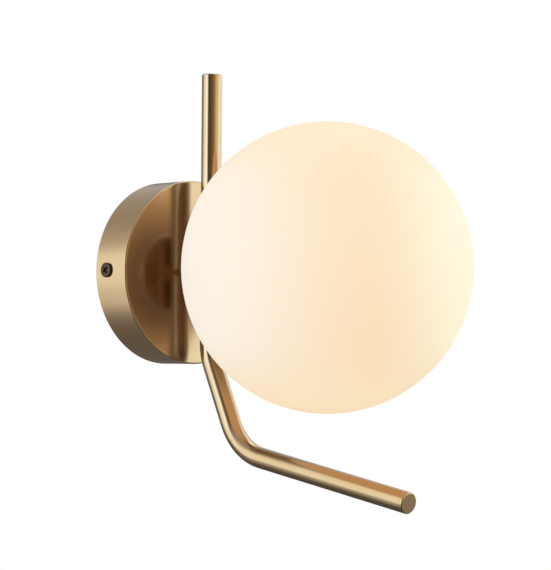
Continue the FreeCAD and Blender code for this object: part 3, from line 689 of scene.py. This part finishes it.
def opal_glass(finish, globe):
    """Opal glass lit from inside, with painted light on its glow: warm along its middle and paler to
    both sides. Brass shows a painted reflection of it, dimmer and amber, with painted shade darkest
    close round the neck, which the lampholder shades only in part."""

    def build(tree):
        from_centre = tree.node("ShaderNodeVectorMath", {"operation": "ADD"},
                                {0: tree.place(), 1: (0.0, globe.centre_depth, 0.0)})
        outward = tree.node("ShaderNodeVectorMath", {"operation": "NORMALIZE"}, {0: from_centre})
        _, _, height = tree.split(outward)
        cloud = tree.noise(outward, 1.6, 2.0, 0.5)
        across = tree.direction_towards(outward, PAINTED_LIGHT_ACROSS) + cloud * 0.10 - 0.05
        # Painted light: the glow turns paler towards both sides across the globe
        stops = [(0.04, finish.rear_glow), (0.615, finish.warm_glow), (0.975, finish.front_glow)]
        painted_side_light = tree.ramp(across * 0.5 + 0.5, stops, "EASE")
        tone = tree.mix(tree.ramp(height * height, EVENNESS), painted_side_light, finish.pole_glow)
        glow = tree.tinted(tone, tree.ramp(height * 0.5 + 0.5, GLOW_TINT))
        to_wall = tree.direction_towards(outward, (0.0, 1.0, 0.0))
        # Painted reflection: the glow as brass shows it, with painted shade darkest round the neck
        shade = tree.echo(tree.ramp(to_wall - height * PAINTED_SHADE_LEAN, PAINTED_GLOBE_REFLECTION))
        in_reflection = tree.node("ShaderNodeLightPath", output="Is Glossy Ray")
        ripple = tree.noise(from_centre, 55.0, 2.0, 0.5)
        return {
            "Base Color": tree.mix(in_reflection, finish.glass, PAINTED_GLASS_REFLECTION),
            "Roughness": 0.52 + ripple * 0.08,
            "Specular IOR Level": 0.12,
            "Emission Color": tree.mix(in_reflection, glow, shade),
            "Emission Strength": 1.0,
            "Normal": tree.bump(ripple, 0.05 * MM, 0.25),
        }

    material = surface("opal_glass", build)
    material.cycles.emission_sampling = "NONE"
    return material


# Finishes with a fine grain: the setting of their tone, metallic, roughness, waves of grain to a
# metre, how uneven the tone is and the relief in millimetres
FINE_GRAINS = {
    "black_oxide": ("screw", 1.0, 0.38, 2400.0, 0.30, 0.006),
    "zinc_steel": ("steel", 1.0, 0.36, 1400.0, 0.14, 0.008),
    "tinned_copper": ("tin", 1.0, 0.30, 1800.0, 0.10, 0.006),
    "bare_brass": ("bare_brass", 1.0, 0.26, 1600.0, 0.16, 0.006),
    "white_plastic": ("plastic", 0.0, 0.46, 1100.0, 0.05, 0.02),
    "ceramic": ("ceramic", 0.0, 0.72, 700.0, 0.10, 0.04),
    "silicone": ("silicone", 0.0, 0.58, 900.0, 0.06, 0.03),
    "frosted_diffuser": ("diffuser", 0.0, 0.50, 800.0, 0.04, 0.01),
    "brown_insulation": ("brown", 0.0, 0.42, 1500.0, 0.12, 0.02),
    "blue_insulation": ("blue", 0.0, 0.42, 1500.0, 0.12, 0.02),
}


def fine_grain(finish, name, **more):
    """A finish from the list above, with an even tone broken by grain."""
    setting, metallic, roughness, waves, uneven, relief = FINE_GRAINS[name]
    tone = getattr(finish, setting)

    def build(tree):
        place = tree.place()
        cloud = tree.noise(place, waves / 12, 3.0, 0.6)
        grain = tree.noise(place, waves, 3.0, 0.6)
        patches = tree.ramp(cloud * 0.7 + grain * 0.3, [(0.34, 0.0), (0.66, 1.0)])
        darker = [part * (1 - uneven) for part in tone]
        return {
            "Base Color": tree.mix(patches, darker, tone),
            "Metallic": metallic,
            "Roughness": roughness - 0.06 + cloud * 0.06 + grain * 0.06,
            "Normal": tree.bump(grain, relief * MM, 0.6),
            **more,
        }

    return surface(name, build)


def striped_insulation(finish):
    """Green insulation with a yellow stripe that winds round the lead."""

    def build(tree):
        place = tree.place()
        _, _, height = tree.split(place)
        wave = tree.maths("SINE", height * 1400.0)
        stripe = tree.ramp(wave * 0.5 + 0.5, [(0.46, 0.0), (0.54, 1.0)])
        grain = tree.noise(place, 1500.0, 2.0)
        return {
            "Base Color": tree.mix(stripe, finish.green, finish.yellow),
            "Roughness": 0.40 + grain * 0.1,
            "Normal": tree.bump(grain, 0.02 * MM, 0.4),
        }

    return surface("earth_insulation", build)


# Pieces

class LIGHT_OT_canopy(bpy.types.Operator):
    """Drawn brass cup on the wall, with its centre hole and its two side holes"""

    bl_idname = "wall_light.canopy"
    bl_label = "Canopy"

    def execute(self, context):
        sizes = context.scene.canopy_sizes
        radius = sizes.diameter / 2
        inner = radius - sizes.wall
        floor = sizes.depth - sizes.wall
        hole = sizes.centre_hole / 2
        hole_edge = 0.12 * MM
        wall_edge = 0.2 * MM
        outline = rounded([
            (hole, sizes.depth, hole_edge),
            (radius, sizes.depth, sizes.edge),
            (radius, 0.0, wall_edge),
            (inner, 0.0, wall_edge),
            (inner, floor, max(sizes.edge - sizes.wall, 0.0)),
            (hole, floor, hole_edge),
        ])
        canopy = skin("canopy_cup", turned_rings(outline, 192))
        set_in_place(canopy, forward)
        origin = (0, -sizes.side_hole_depth, 0)
        sides = (Vector((-1, 0, 0)), Vector((1, 0, 0)))
        holes = [along(side, sizes.side_hole / 2, inner * 0.9, radius * 1.1, origin) for side in sides]
        cut(canopy, holes)
        hand_over_brass(canopy, turned_brass(context.scene.light_finishes), "canopy")
        return {"FINISHED"}


class LIGHT_OT_rod(bpy.types.Operator):
    """Bent brass tube with a cap on each end"""

    bl_idname = "wall_light.rod"
    bl_label = "Rod and caps"
    segments = 72

    def tube(self, sizes):
        """The tube itself, drilled across for the threaded tube."""
        radius = sizes.diameter / 2
        corners = rod_corners(sizes)
        corners[0] = corners[0] - upward * sizes.top_cap
        corners[-1] = corners[-1] - leg_direction(sizes.lower_tilt) * sizes.end_cap
        stations = bent_line(corners, sizes.bend_radius, 28)
        seam = sizes.seam
        outside = [(station, radius) for station in stations[:-1]]
        outside += [(moved(stations[-1], -seam), radius), (stations[-1], radius - seam)]
        inside = [(station, radius - sizes.wall) for station in reversed(stations)]
        rings = outside + inside
        tube = skin("rod_tube", [ring_round(station, reach, self.segments) for station, reach in rings])
        hoop = [(radius * math.cos(angle), radius * math.sin(angle))
                for angle in round_angles(self.segments)]
        store_draw_lines(tube, [(*across, length) for (_, _, length), _ in rings for across in hoop])
        origin = (0, -sizes.axis_depth, 0)
        return cut(tube, [along(forward, sizes.cross_hole / 2, -sizes.diameter, sizes.diameter, origin)])

    def cap(self, sizes, name, tip, direction, length, seam=0.0):
        """A cap with a rounded end, as wide as the tube, and its spigot inside the tube."""
        radius = sizes.diameter / 2
        spigot = radius - sizes.wall - sizes.spigot_gap
        end = -length - sizes.spigot
        outline = rounded([
            (0.0, 0.0, 0.0),
            (radius, 0.0, sizes.cap_edge),
            (radius, -length, seam),
            (spigot, -length, 0.0),
            (spigot, end, 0.4 * MM),
            (0.0, end, 0.0),
        ], closed=False)
        cap = skin(name, turned_rings(outline, self.segments), closed=False)
        store_draw_lines(cap, [vertex.co for vertex in cap.data.vertices])
        return set_in_place(cap, direction, tip)

    def execute(self, context):
        sizes = context.scene.rod_sizes
        brass = drawn_brass(context.scene.light_finishes)
        corners = rod_corners(sizes)
        tube = self.tube(sizes)
        top = self.cap(sizes, "rod_top_end", corners[0], upward, sizes.top_cap)
        front = self.cap(sizes, "rod_front_end", corners[-1], leg_direction(sizes.lower_tilt),
                         sizes.end_cap, sizes.seam)
        for shape, node in ((tube, "rod"), (top, "rod_top_cap"), (front, "rod_end_cap")):
            hand_over_brass(shape, brass, node)
        return {"FINISHED"}


class LIGHT_OT_spacers(bpy.types.Operator):
    """Two round spacers that saddle the rod, one behind it and one before it"""

    bl_idname = "wall_light.spacers"
    bl_label = "Spacers"

    def spacer(self, rod, name, flat_depth):
        """A spacer from a flat end to the end that is hollowed to sit on the rod."""
        outer = rod.spacer_diameter / 2
        bore = rod.cross_hole / 2
        side = 1 if flat_depth > rod.axis_depth else -1
        chamfer = 0.2 * MM
        angles = round_angles(96)

        def saddle(reach):
            """Points of the hollowed end at one distance from the axis."""
            ring = []
            for angle in angles:
                x = reach * math.cos(angle)
                depth = rod.axis_depth + side * math.sqrt((rod.diameter / 2) ** 2 - x * x)
                ring.append(Vector((x, -depth, reach * math.sin(angle))))
            return ring

        def flat(reach, inset):
            """Points of the flat end, set back by the chamfer."""
            depth = flat_depth - side * inset
            return [Vector((reach * math.cos(angle), -depth, reach * math.sin(angle))) for angle in angles]

        steps = 4
        widths = [outer + (bore - outer) * step / steps for step in range(steps + 1)]
        rings = [saddle(width) for width in widths]
        rings += [flat(bore, 0.0), flat(outer - chamfer, 0.0), flat(outer, chamfer)]
        return skin(name, rings)

    def execute(self, context):
        rod = context.scene.rod_sizes
        brass = turned_brass(context.scene.light_finishes)
        rear = self.spacer(rod, "spacer_behind_rod", context.scene.canopy_sizes.depth)
        front = self.spacer(rod, "spacer_before_rod", context.scene.fitter_sizes.back_depth)
        for shape, node in ((rear, "rear_spacer"), (front, "front_spacer")):
            hand_over_brass(shape, brass, node)
        return {"FINISHED"}


class LIGHT_OT_fitter(bpy.types.Operator):
    """Spun brass cup that takes the globe's neck, threaded inside"""

    bl_idname = "wall_light.fitter"
    bl_label = "Fitter"

    def execute(self, context):
        sizes = context.scene.fitter_sizes
        globe = context.scene.globe_sizes
        hole = context.scene.rod_sizes.cross_hole / 2
        back = sizes.back_depth
        floor = back + sizes.plate
        front = back + sizes.length
        inside = sizes.inside_diameter / 2
        outside = inside + sizes.wall
        edge = sizes.back_edge
        lip = sizes.lip
        inner_lip = sizes.inner_lip
        outline = arc((outside - edge, back + edge), edge, -90, 0, 8)
        outline += arc((outside - lip, front - lip), lip, 0, 90, 6)
        outline += arc((inside + inner_lip, front - inner_lip), inner_lip, 90, 180, 5)
        outline += run(inside, front - lip, floor, globe.pitch / 12)
        outline += [Vector((hole, floor)), Vector((hole, back))]
        thread = Thread(inside, floor, front - inner_lip, globe.pitch, sizes.thread)
        fitter = skin("fitter_cup", turned_rings(outline, 160, thread))
        set_in_place(fitter, forward)
        hand_over_brass(fitter, turned_brass(context.scene.light_finishes), "globe_fitter")
        return {"FINISHED"}


class LIGHT_OT_globe(bpy.types.Operator):
    """Blown opal glass globe with a moulded thread on its neck"""

    bl_idname = "wall_light.globe"
    bl_label = "Globe"

    def execute(self, context):
        sizes = context.scene.globe_sizes
        centre = (0.0, sizes.centre_depth)
        outer = sizes.diameter / 2
        inner = outer - sizes.wall
        neck = sizes.neck_diameter / 2
        bore = sizes.neck_bore / 2
        fillet = sizes.fillet
        lip = sizes.lip
        end = sizes.neck_depth
        near_pole = 89.2

        def fillet_place(reach, sphere):
            """Centre of a fillet that meets the sphere, and its direction in degrees."""
            drop = math.sqrt(sphere ** 2 - reach ** 2)
            return (reach, sizes.centre_depth - drop), math.degrees(math.atan2(-drop, reach))

        outer_fillet, outer_angle = fillet_place(neck + fillet, outer + fillet)
        inner_fillet, inner_angle = fillet_place(bore + fillet, inner + fillet)
        outline = [Vector((0.0, sizes.centre_depth + outer))]
        outline += arc(centre, outer, near_pole, outer_angle, 150)
        outline += arc(outer_fillet, fillet, outer_angle + 180, 180, 8)
        outline += run(neck, outer_fillet[1], end + lip, sizes.pitch / 12)[1:]
        outline += arc((neck - lip, end + lip), lip, 0, -90, 6)[1:]
        outline += arc((bore + lip, end + lip), lip, -90, -180, 6)
        outline += arc(inner_fillet, fillet, 180, inner_angle + 180, 8)
        outline += arc(centre, inner, inner_angle, near_pole, 110)[1:]
        outline += [Vector((0.0, sizes.centre_depth + inner))]
        thread = Thread(neck, end + lip, outer_fillet[1], sizes.pitch, -sizes.thread)
        globe = skin("glass_globe", turned_rings(outline, 224, thread), closed=False, sharp=60.0)
        set_in_place(globe, forward)
        glass = opal_glass(context.scene.light_finishes, sizes)
        hand_over(globe, "globe", "opal_glass", glass, "globe")
        return {"FINISHED"}


class LIGHT_OT_side_screws(bpy.types.Operator):
    """Two black pan-head screws with a cross recess"""

    bl_idname = "wall_light.side_screws"
    bl_label = "Side screws"

    def recess(self, sizes):
        """A cross that cuts the driver's recess, shorter and narrower towards its floor."""
        top = sizes.head_height + 0.1 * MM
        floor = sizes.head_height - sizes.recess_depth
        rings = []
        for height, shorter, narrower in ((floor, 0.42, 0.55), (top, 1.0, 1.0)):
            arm = sizes.recess / 2 * shorter
            half = sizes.recess_width / 2 * narrower
            ring = []
            quarter = ((arm, -half), (arm, half), (half, half))
            for angle in round_angles(4):
                turned = Matrix.Rotation(sizes.recess_turn + angle, 3, "Z")
                ring += [turned @ Vector((x, y, height)) for x, y in quarter]
            rings.append(ring)
        return skin("cutter", rings, closed=False)

    def screw(self, sizes, name):
        """A screw whose head stands up from z = 0 and whose thread runs down."""
        head = sizes.head / 2
        shank = sizes.diameter / 2 - 0.05 * MM
        height = sizes.head_height
        crown = head - 1.1 * MM
        shoulder = height - 0.25 * MM
        tip = -sizes.length
        point = 0.5 * MM
        outline = rounded([
            (0.0, height, 0.0),
            (crown, height, 0.6 * MM),
            (head, shoulder, 0.45 * MM),
            (head, 0.0, 0.12 * MM),
            (shank, 0.0, 0.0),
        ], steps=7, closed=False)
        outline += run(shank, -0.3 * MM, tip + point, sizes.pitch / 10)
        outline += [Vector((shank - point, tip)), Vector((0.0, tip))]
        thread = Thread(shank, tip + 0.4 * MM, -0.6 * MM, sizes.pitch, -sizes.thread)
        body = skin(name, turned_rings(outline, 64, thread), closed=False)
        return cut(body, [self.recess(sizes)])

    def execute(self, context):
        sizes = context.scene.screw_sizes
        canopy = context.scene.canopy_sizes
        black = fine_grain(context.scene.light_finishes, "black_oxide")
        for side, word in ((-1, "left"), (1, "right")):
            screw = self.screw(sizes, f"{word}_screw_body")
            place = (side * canopy.diameter / 2, -canopy.side_hole_depth, 0)
            set_in_place(screw, (side, 0, 0), place)
            even_shading(screw)
            hand_over(screw, f"{word}_screw", "black_steel", black, f"side_screw_{word}")
        return {"FINISHED"}


class LIGHT_OT_threaded_tube(bpy.types.Operator):
    """Hollow threaded tube that ties canopy, rod and fitter together"""

    bl_idname = "wall_light.threaded_tube"
    bl_label = "Threaded tube"

    def execute(self, context):
        sizes = context.scene.tube_sizes
        radius = sizes.diameter / 2
        bore = sizes.bore / 2
        rear = sizes.rear_depth
        front = sizes.front_depth
        chamfer = 0.5 * MM
        outline = [Vector((bore, rear)), Vector((radius - chamfer, rear))]
        outline += run(radius, rear + chamfer, front - chamfer, sizes.pitch / 8)
        outline += [Vector((radius - chamfer, front)), Vector((bore, front))]
        thread = Thread(radius, rear, front, sizes.pitch, -sizes.thread)
        tube = skin("hollow_tube", turned_rings(outline, 64, thread), sharp=80.0)
        set_in_place(tube, forward)
        steel = fine_grain(context.scene.light_finishes, "zinc_steel")
        hand_over(tube, "fixture", "zinc_steel", steel, "threaded_tube")
        return {"FINISHED"}


class LIGHT_OT_bracket(bpy.types.Operator):
    """Finish of the wall bracket, its nuts and the small steel screws"""

    bl_idname = "wall_light.bracket"
    bl_label = "Bracket and nuts"

    def execute(self, context):
        finish = context.scene.light_finishes
        dress(fine_grain(finish, "zinc_steel"), "wall_bracket", "canopy_washer", "canopy_nut",
              "fitter_nut", "holder_bracket", "holder_screws", "terminal_screws", "terminal_block_screws")
        dress(fine_grain(finish, "tinned_copper"), "earth_tag", "bulb_pins")
        dress(fine_grain(finish, "bare_brass"), "earth_screw", "terminal_clamps", "holder_contacts")
        return {"FINISHED"}


class LIGHT_OT_mouldings(bpy.types.Operator):
    """Finish of the terminal block, the bushes, the lampholder, the gasket and the bulb"""

    bl_idname = "wall_light.mouldings"
    bl_label = "Mouldings and bulb"

    def execute(self, context):
        finish = context.scene.light_finishes
        dress(fine_grain(finish, "white_plastic"), "terminal_block", "tube_bushes", "bulb_base")
        dress(fine_grain(finish, "ceramic"), "lampholder")
        dress(fine_grain(finish, "silicone"), "globe_gasket")
        lit = {"Emission Color": rgba(finish.bulb_glow), "Emission Strength": 1.0}
        dress(fine_grain(finish, "frosted_diffuser", **lit), "bulb_envelope")
        return {"FINISHED"}


class LIGHT_OT_leads(bpy.types.Operator):
    """Finish of the three leads inside the light"""

    bl_idname = "wall_light.leads"
    bl_label = "Leads"

    def execute(self, context):
        finish = context.scene.light_finishes
        dress(fine_grain(finish, "brown_insulation"), "live_lead")
        dress(fine_grain(finish, "blue_insulation"), "neutral_lead")
        dress(striped_insulation(finish), "earth_lead")
        return {"FINISHED"}


# Stage

def camera_place(studio):
    """The camera's matrix from its side, height, roll and place."""
    level = math.cos(studio.elevation)
    back = Vector((math.sin(studio.azimuth) * level, -math.cos(studio.azimuth) * level,
                   math.sin(studio.elevation)))
    right = (-back).cross(upward).normalized()
    above = right.cross(-back)
    rolled_right = right * math.cos(studio.roll) + above * math.sin(studio.roll)
    rolled_above = above * math.cos(studio.roll) - right * math.sin(studio.roll)
    turned = Matrix((rolled_right, rolled_above, back)).transposed().to_4x4()
    place = Vector((-studio.camera_x, -studio.camera_depth, -studio.camera_fall))
    return Matrix.Translation(place) @ turned


# What metal sees of the studio: tones of linear light in three rings and from above and below. The
# angles are in degrees round the light, 0 at the camera's side and 90 at its right.
STUDIO_LOW = [
    (-180, (0.12, 0.105, 0.10)),
    (-150, (0.12, 0.105, 0.10)),
    (-125, (0.23, 0.19, 0.17)),
    (-112, (0.32, 0.27, 0.23)),
    (-105, (0.50, 0.43, 0.37)),
    (-97, (0.74, 0.65, 0.56)),
    (-85, (0.66, 0.58, 0.49)),
    (-60, (0.46, 0.41, 0.34)),
    (-40, (0.14, 0.11, 0.08)),
    (0, (0.10, 0.075, 0.055)),
    (45, (0.16, 0.12, 0.09)),
    (80, (0.44, 0.35, 0.28)),
    (120, (0.42, 0.35, 0.29)),
    (180, (0.12, 0.105, 0.10)),
]
STUDIO_EYE = [
    (-180, (0.20, 0.18, 0.17)),
    (-112, (0.24, 0.22, 0.19)),
    (-105, (0.46, 0.43, 0.38)),
    (-98, (0.88, 0.82, 0.73)),
    (-86, (0.86, 0.80, 0.72)),
    (-76, (0.96, 0.92, 0.90)),
    (-69, (1.08, 1.07, 1.14)),
    (-51, (1.14, 1.18, 1.30)),
    (-44, (0.45, 0.45, 0.47)),
    (-36, (0.07, 0.05, 0.03)),
    (-18, (0.08, 0.06, 0.03)),
    (0, (0.13, 0.09, 0.05)),
    (22, (0.21, 0.13, 0.07)),
    (36, (0.35, 0.24, 0.13)),
    (50, (0.57, 0.44, 0.29)),
    (64, (0.68, 0.56, 0.41)),
    (79, (0.72, 0.60, 0.46)),
    (84, (0.92, 0.90, 0.79)),
    (100, (0.96, 0.92, 0.86)),
    (130, (0.93, 0.88, 0.95)),
    (150, (0.85, 0.80, 0.85)),
    (180, (0.20, 0.18, 0.17)),
]
STUDIO_HIGH = [
    (-180, (0.42, 0.41, 0.46)),
    (-150, (0.40, 0.38, 0.41)),
    (-125, (0.31, 0.27, 0.25)),
    (-108, (0.37, 0.32, 0.27)),
    (-97, (0.56, 0.49, 0.42)),
    (-91, (0.84, 0.73, 0.60)),
    (-82, (0.92, 0.80, 0.66)),
    (-74, (0.60, 0.52, 0.42)),
    (-58, (0.36, 0.30, 0.25)),
    (-44, (0.22, 0.17, 0.13)),
    (-25, (0.13, 0.08, 0.035)),
    (0, (0.20, 0.13, 0.08)),
    (45, (0.36, 0.26, 0.18)),
    (75, (0.62, 0.50, 0.38)),
    (100, (0.74, 0.58, 0.44)),
    (140, (0.84, 0.71, 0.60)),
    (165, (0.62, 0.50, 0.42)),
    (180, (0.42, 0.41, 0.46)),
]
STUDIO_ABOVE = [(0, (0.32, 0.26, 0.23))]
STUDIO_BELOW = (0.12, 0.10, 0.09)

# The sines of the height between which each ring takes over, from below to above
STUDIO_RINGS = [
    (-0.68, -0.44, STUDIO_LOW),
    (-0.27, -0.10, STUDIO_EYE),
    (0.23, 0.40, STUDIO_HIGH),
    (0.50, 0.75, STUDIO_ABOVE),
]


class LIGHT_OT_stage(bpy.types.Operator):
    """Camera, floor, lamps and the white studio round the light"""

    bl_idname = "wall_light.stage"
    bl_label = "Stage"

    def camera(self, context, studio):
        """The camera that looks at the light."""
        data = bpy.data.cameras.new("camera")
        data.sensor_width = 36.0
        data.lens = studio.focal_length
        data.clip_end = 100.0
        camera = placed("camera", data)
        camera.matrix_world = camera_place(studio)
        context.scene.camera = camera

    def floor(self, studio):
        """A floor that is white to the eye, with a painted shadow from ambient occlusion where the light
        comes close to it.
        """
        half = 4.0
        height = studio.floor_height
        sides = ((-half, -half), (half, -half), (half, half), (-half, half))
        corners = [(x, y, height) for x, y in sides]
        data = bpy.data.meshes.new("floor")
        data.from_pydata(corners, [], [(0, 1, 2, 3)])
        floor = placed("floor", data)
        material = bpy.data.materials.new("floor")
        tree = Tree(material)
        # Painted shadow: ambient occlusion darkens the floor's white
        shade = tree.node("ShaderNodeAmbientOcclusion", {"samples": 16}, {"Distance": 1.2}, output="AO")
        white = tree.node("ShaderNodeEmission", values={"Color": tree.tinted(shade, studio.floor)})
        matt = tree.node("ShaderNodeBsdfDiffuse", values={"Color": (0.75, 0.75, 0.75, 1.0)})
        clear = tree.node("ShaderNodeBsdfTransparent")
        path = tree.node("ShaderNodeLightPath", output="Is Camera Ray")
        seen = tree.node("ShaderNodeMixShader", values={0: path, 1: matt, 2: white})
        behind = tree.node("ShaderNodeNewGeometry", output="Backfacing")
        hidden = tree.maths("MAXIMUM", behind, path.other("Is Glossy Ray"))
        both = tree.node("ShaderNodeMixShader", values={0: hidden, 1: seen, 2: clear})
        tree.node("ShaderNodeOutputMaterial", values={"Surface": both})
        material.cycles.emission_sampling = "NONE"
        data.materials.append(material)

    def world(self, context, studio):
        """White to the eye, even to matt surfaces, and rings of soft tones to metal."""
        world = bpy.data.worlds.new("studio")
        context.scene.world = world
        world.cycles.sampling_method = "NONE"
        tree = Tree(world)
        direction = tree.node("ShaderNodeTexCoord", output="Generated")
        to_camera = Vector((math.sin(studio.azimuth), -math.cos(studio.azimuth), 0.0))
        to_right = Vector((-to_camera.y, to_camera.x, 0.0))
        angle = tree.maths("ARCTAN2", tree.direction_towards(direction, to_right),
                           tree.direction_towards(direction, to_camera))
        around = angle / (2 * math.pi) + 0.5
        _, _, height = tree.split(direction)
        tone = STUDIO_BELOW
        for start, end, ring in STUDIO_RINGS:
            passed = tree.ramp(height * 0.5 + 0.5, [(0.5 + start / 2, 0.0), (0.5 + end / 2, 1.0)])
            shown = tree.ramp(around, [(degrees / 360 + 0.5, colour) for degrees, colour in ring])
            tone = tree.mix(passed, tone, shown)
        path = tree.node("ShaderNodeLightPath", output="Is Camera Ray")
        even = (studio.fill, studio.fill, studio.fill)
        lit = tree.mix(path.other("Is Glossy Ray"), even, tree.echo(tone))
        to_eye = tree.maths("MAXIMUM", path, path.other("Is Transmission Ray"))
        seen = tree.mix(to_eye, lit, (1.0, 1.0, 1.0))
        background = tree.node("ShaderNodeBackground", values={"Color": seen, "Strength": 1.0})
        tree.node("ShaderNodeOutputWorld", values={"Surface": background})

    def lamp(self, name, place, power, width):
        """A square lamp that lights matt surfaces only; metal shows the studio instead."""
        data = bpy.data.lights.new(name, "AREA")
        data.shape = "SQUARE"
        data.size = width
        data.energy = power
        lamp = placed(name, data)
        lamp.location = place
        aim = Vector((0, -0.08, 0)) - Vector(place)
        lamp.rotation_euler = aim.to_track_quat("-Z", "Y").to_euler()
        lamp.visible_glossy = False
        lamp.visible_camera = False

    def execute(self, context):
        studio = context.scene.studio_settings
        self.camera(context, studio)
        self.floor(studio)
        self.world(context, studio)
        self.lamp("key_lamp", (-1.3, -1.3, 1.5), power=10.0, width=1.4)
        self.lamp("back_lamp", (1.3, 1.2, 1.1), power=5.0, width=1.2)
        context.scene.view_settings.view_transform = "Standard"
        return {"FINISHED"}


# The add-on

GROUPS = {
    "canopy_sizes": CanopySizes,
    "rod_sizes": RodSizes,
    "fitter_sizes": FitterSizes,
    "globe_sizes": GlobeSizes,
    "screw_sizes": ScrewSizes,
    "tube_sizes": TubeSizes,
    "light_finishes": Finishes,
    "studio_settings": StudioSettings,
}

STEPS = (
    LIGHT_OT_stage,
    LIGHT_OT_canopy,
    LIGHT_OT_rod,
    LIGHT_OT_spacers,
    LIGHT_OT_fitter,
    LIGHT_OT_globe,
    LIGHT_OT_side_screws,
    LIGHT_OT_threaded_tube,
    LIGHT_OT_bracket,
    LIGHT_OT_mouldings,
    LIGHT_OT_leads,
)


class LIGHT_PT_panel(bpy.types.Panel):
    """Sizes, finishes and steps of the wall light"""

    bl_idname = "LIGHT_PT_panel"
    bl_label = "Globe wall light"
    bl_space_type = "VIEW_3D"
    bl_region_type = "UI"
    bl_category = "Wall light"

    def draw(self, context):
        for name in GROUPS:
            box = self.layout.box()
            box.label(text=name.replace("_", " ").capitalize())
            group = getattr(context.scene, name)
            for setting in group.bl_rna.properties:
                if setting.identifier not in ("rna_type", "name"):
                    box.prop(group, setting.identifier)
        for step in STEPS:
            self.layout.operator(step.bl_idname)


def register():
    for group in GROUPS.values():
        bpy.utils.register_class(group)
    for name, group in GROUPS.items():
        setattr(bpy.types.Scene, name, PointerProperty(type=group))
    for step in STEPS:
        bpy.utils.register_class(step)
    bpy.utils.register_class(LIGHT_PT_panel)


def unregister():
    bpy.utils.unregister_class(LIGHT_PT_panel)
    for step in reversed(STEPS):
        bpy.utils.unregister_class(step)
    for name in GROUPS:
        delattr(bpy.types.Scene, name)
    for group in reversed(GROUPS.values()):
        bpy.utils.unregister_class(group)


def main():
    """Build the whole light."""
    register()
    for step in STEPS:
        family, name = step.bl_idname.split(".")
        getattr(getattr(bpy.ops, family), name)()


if __name__ == "__main__":
    main()
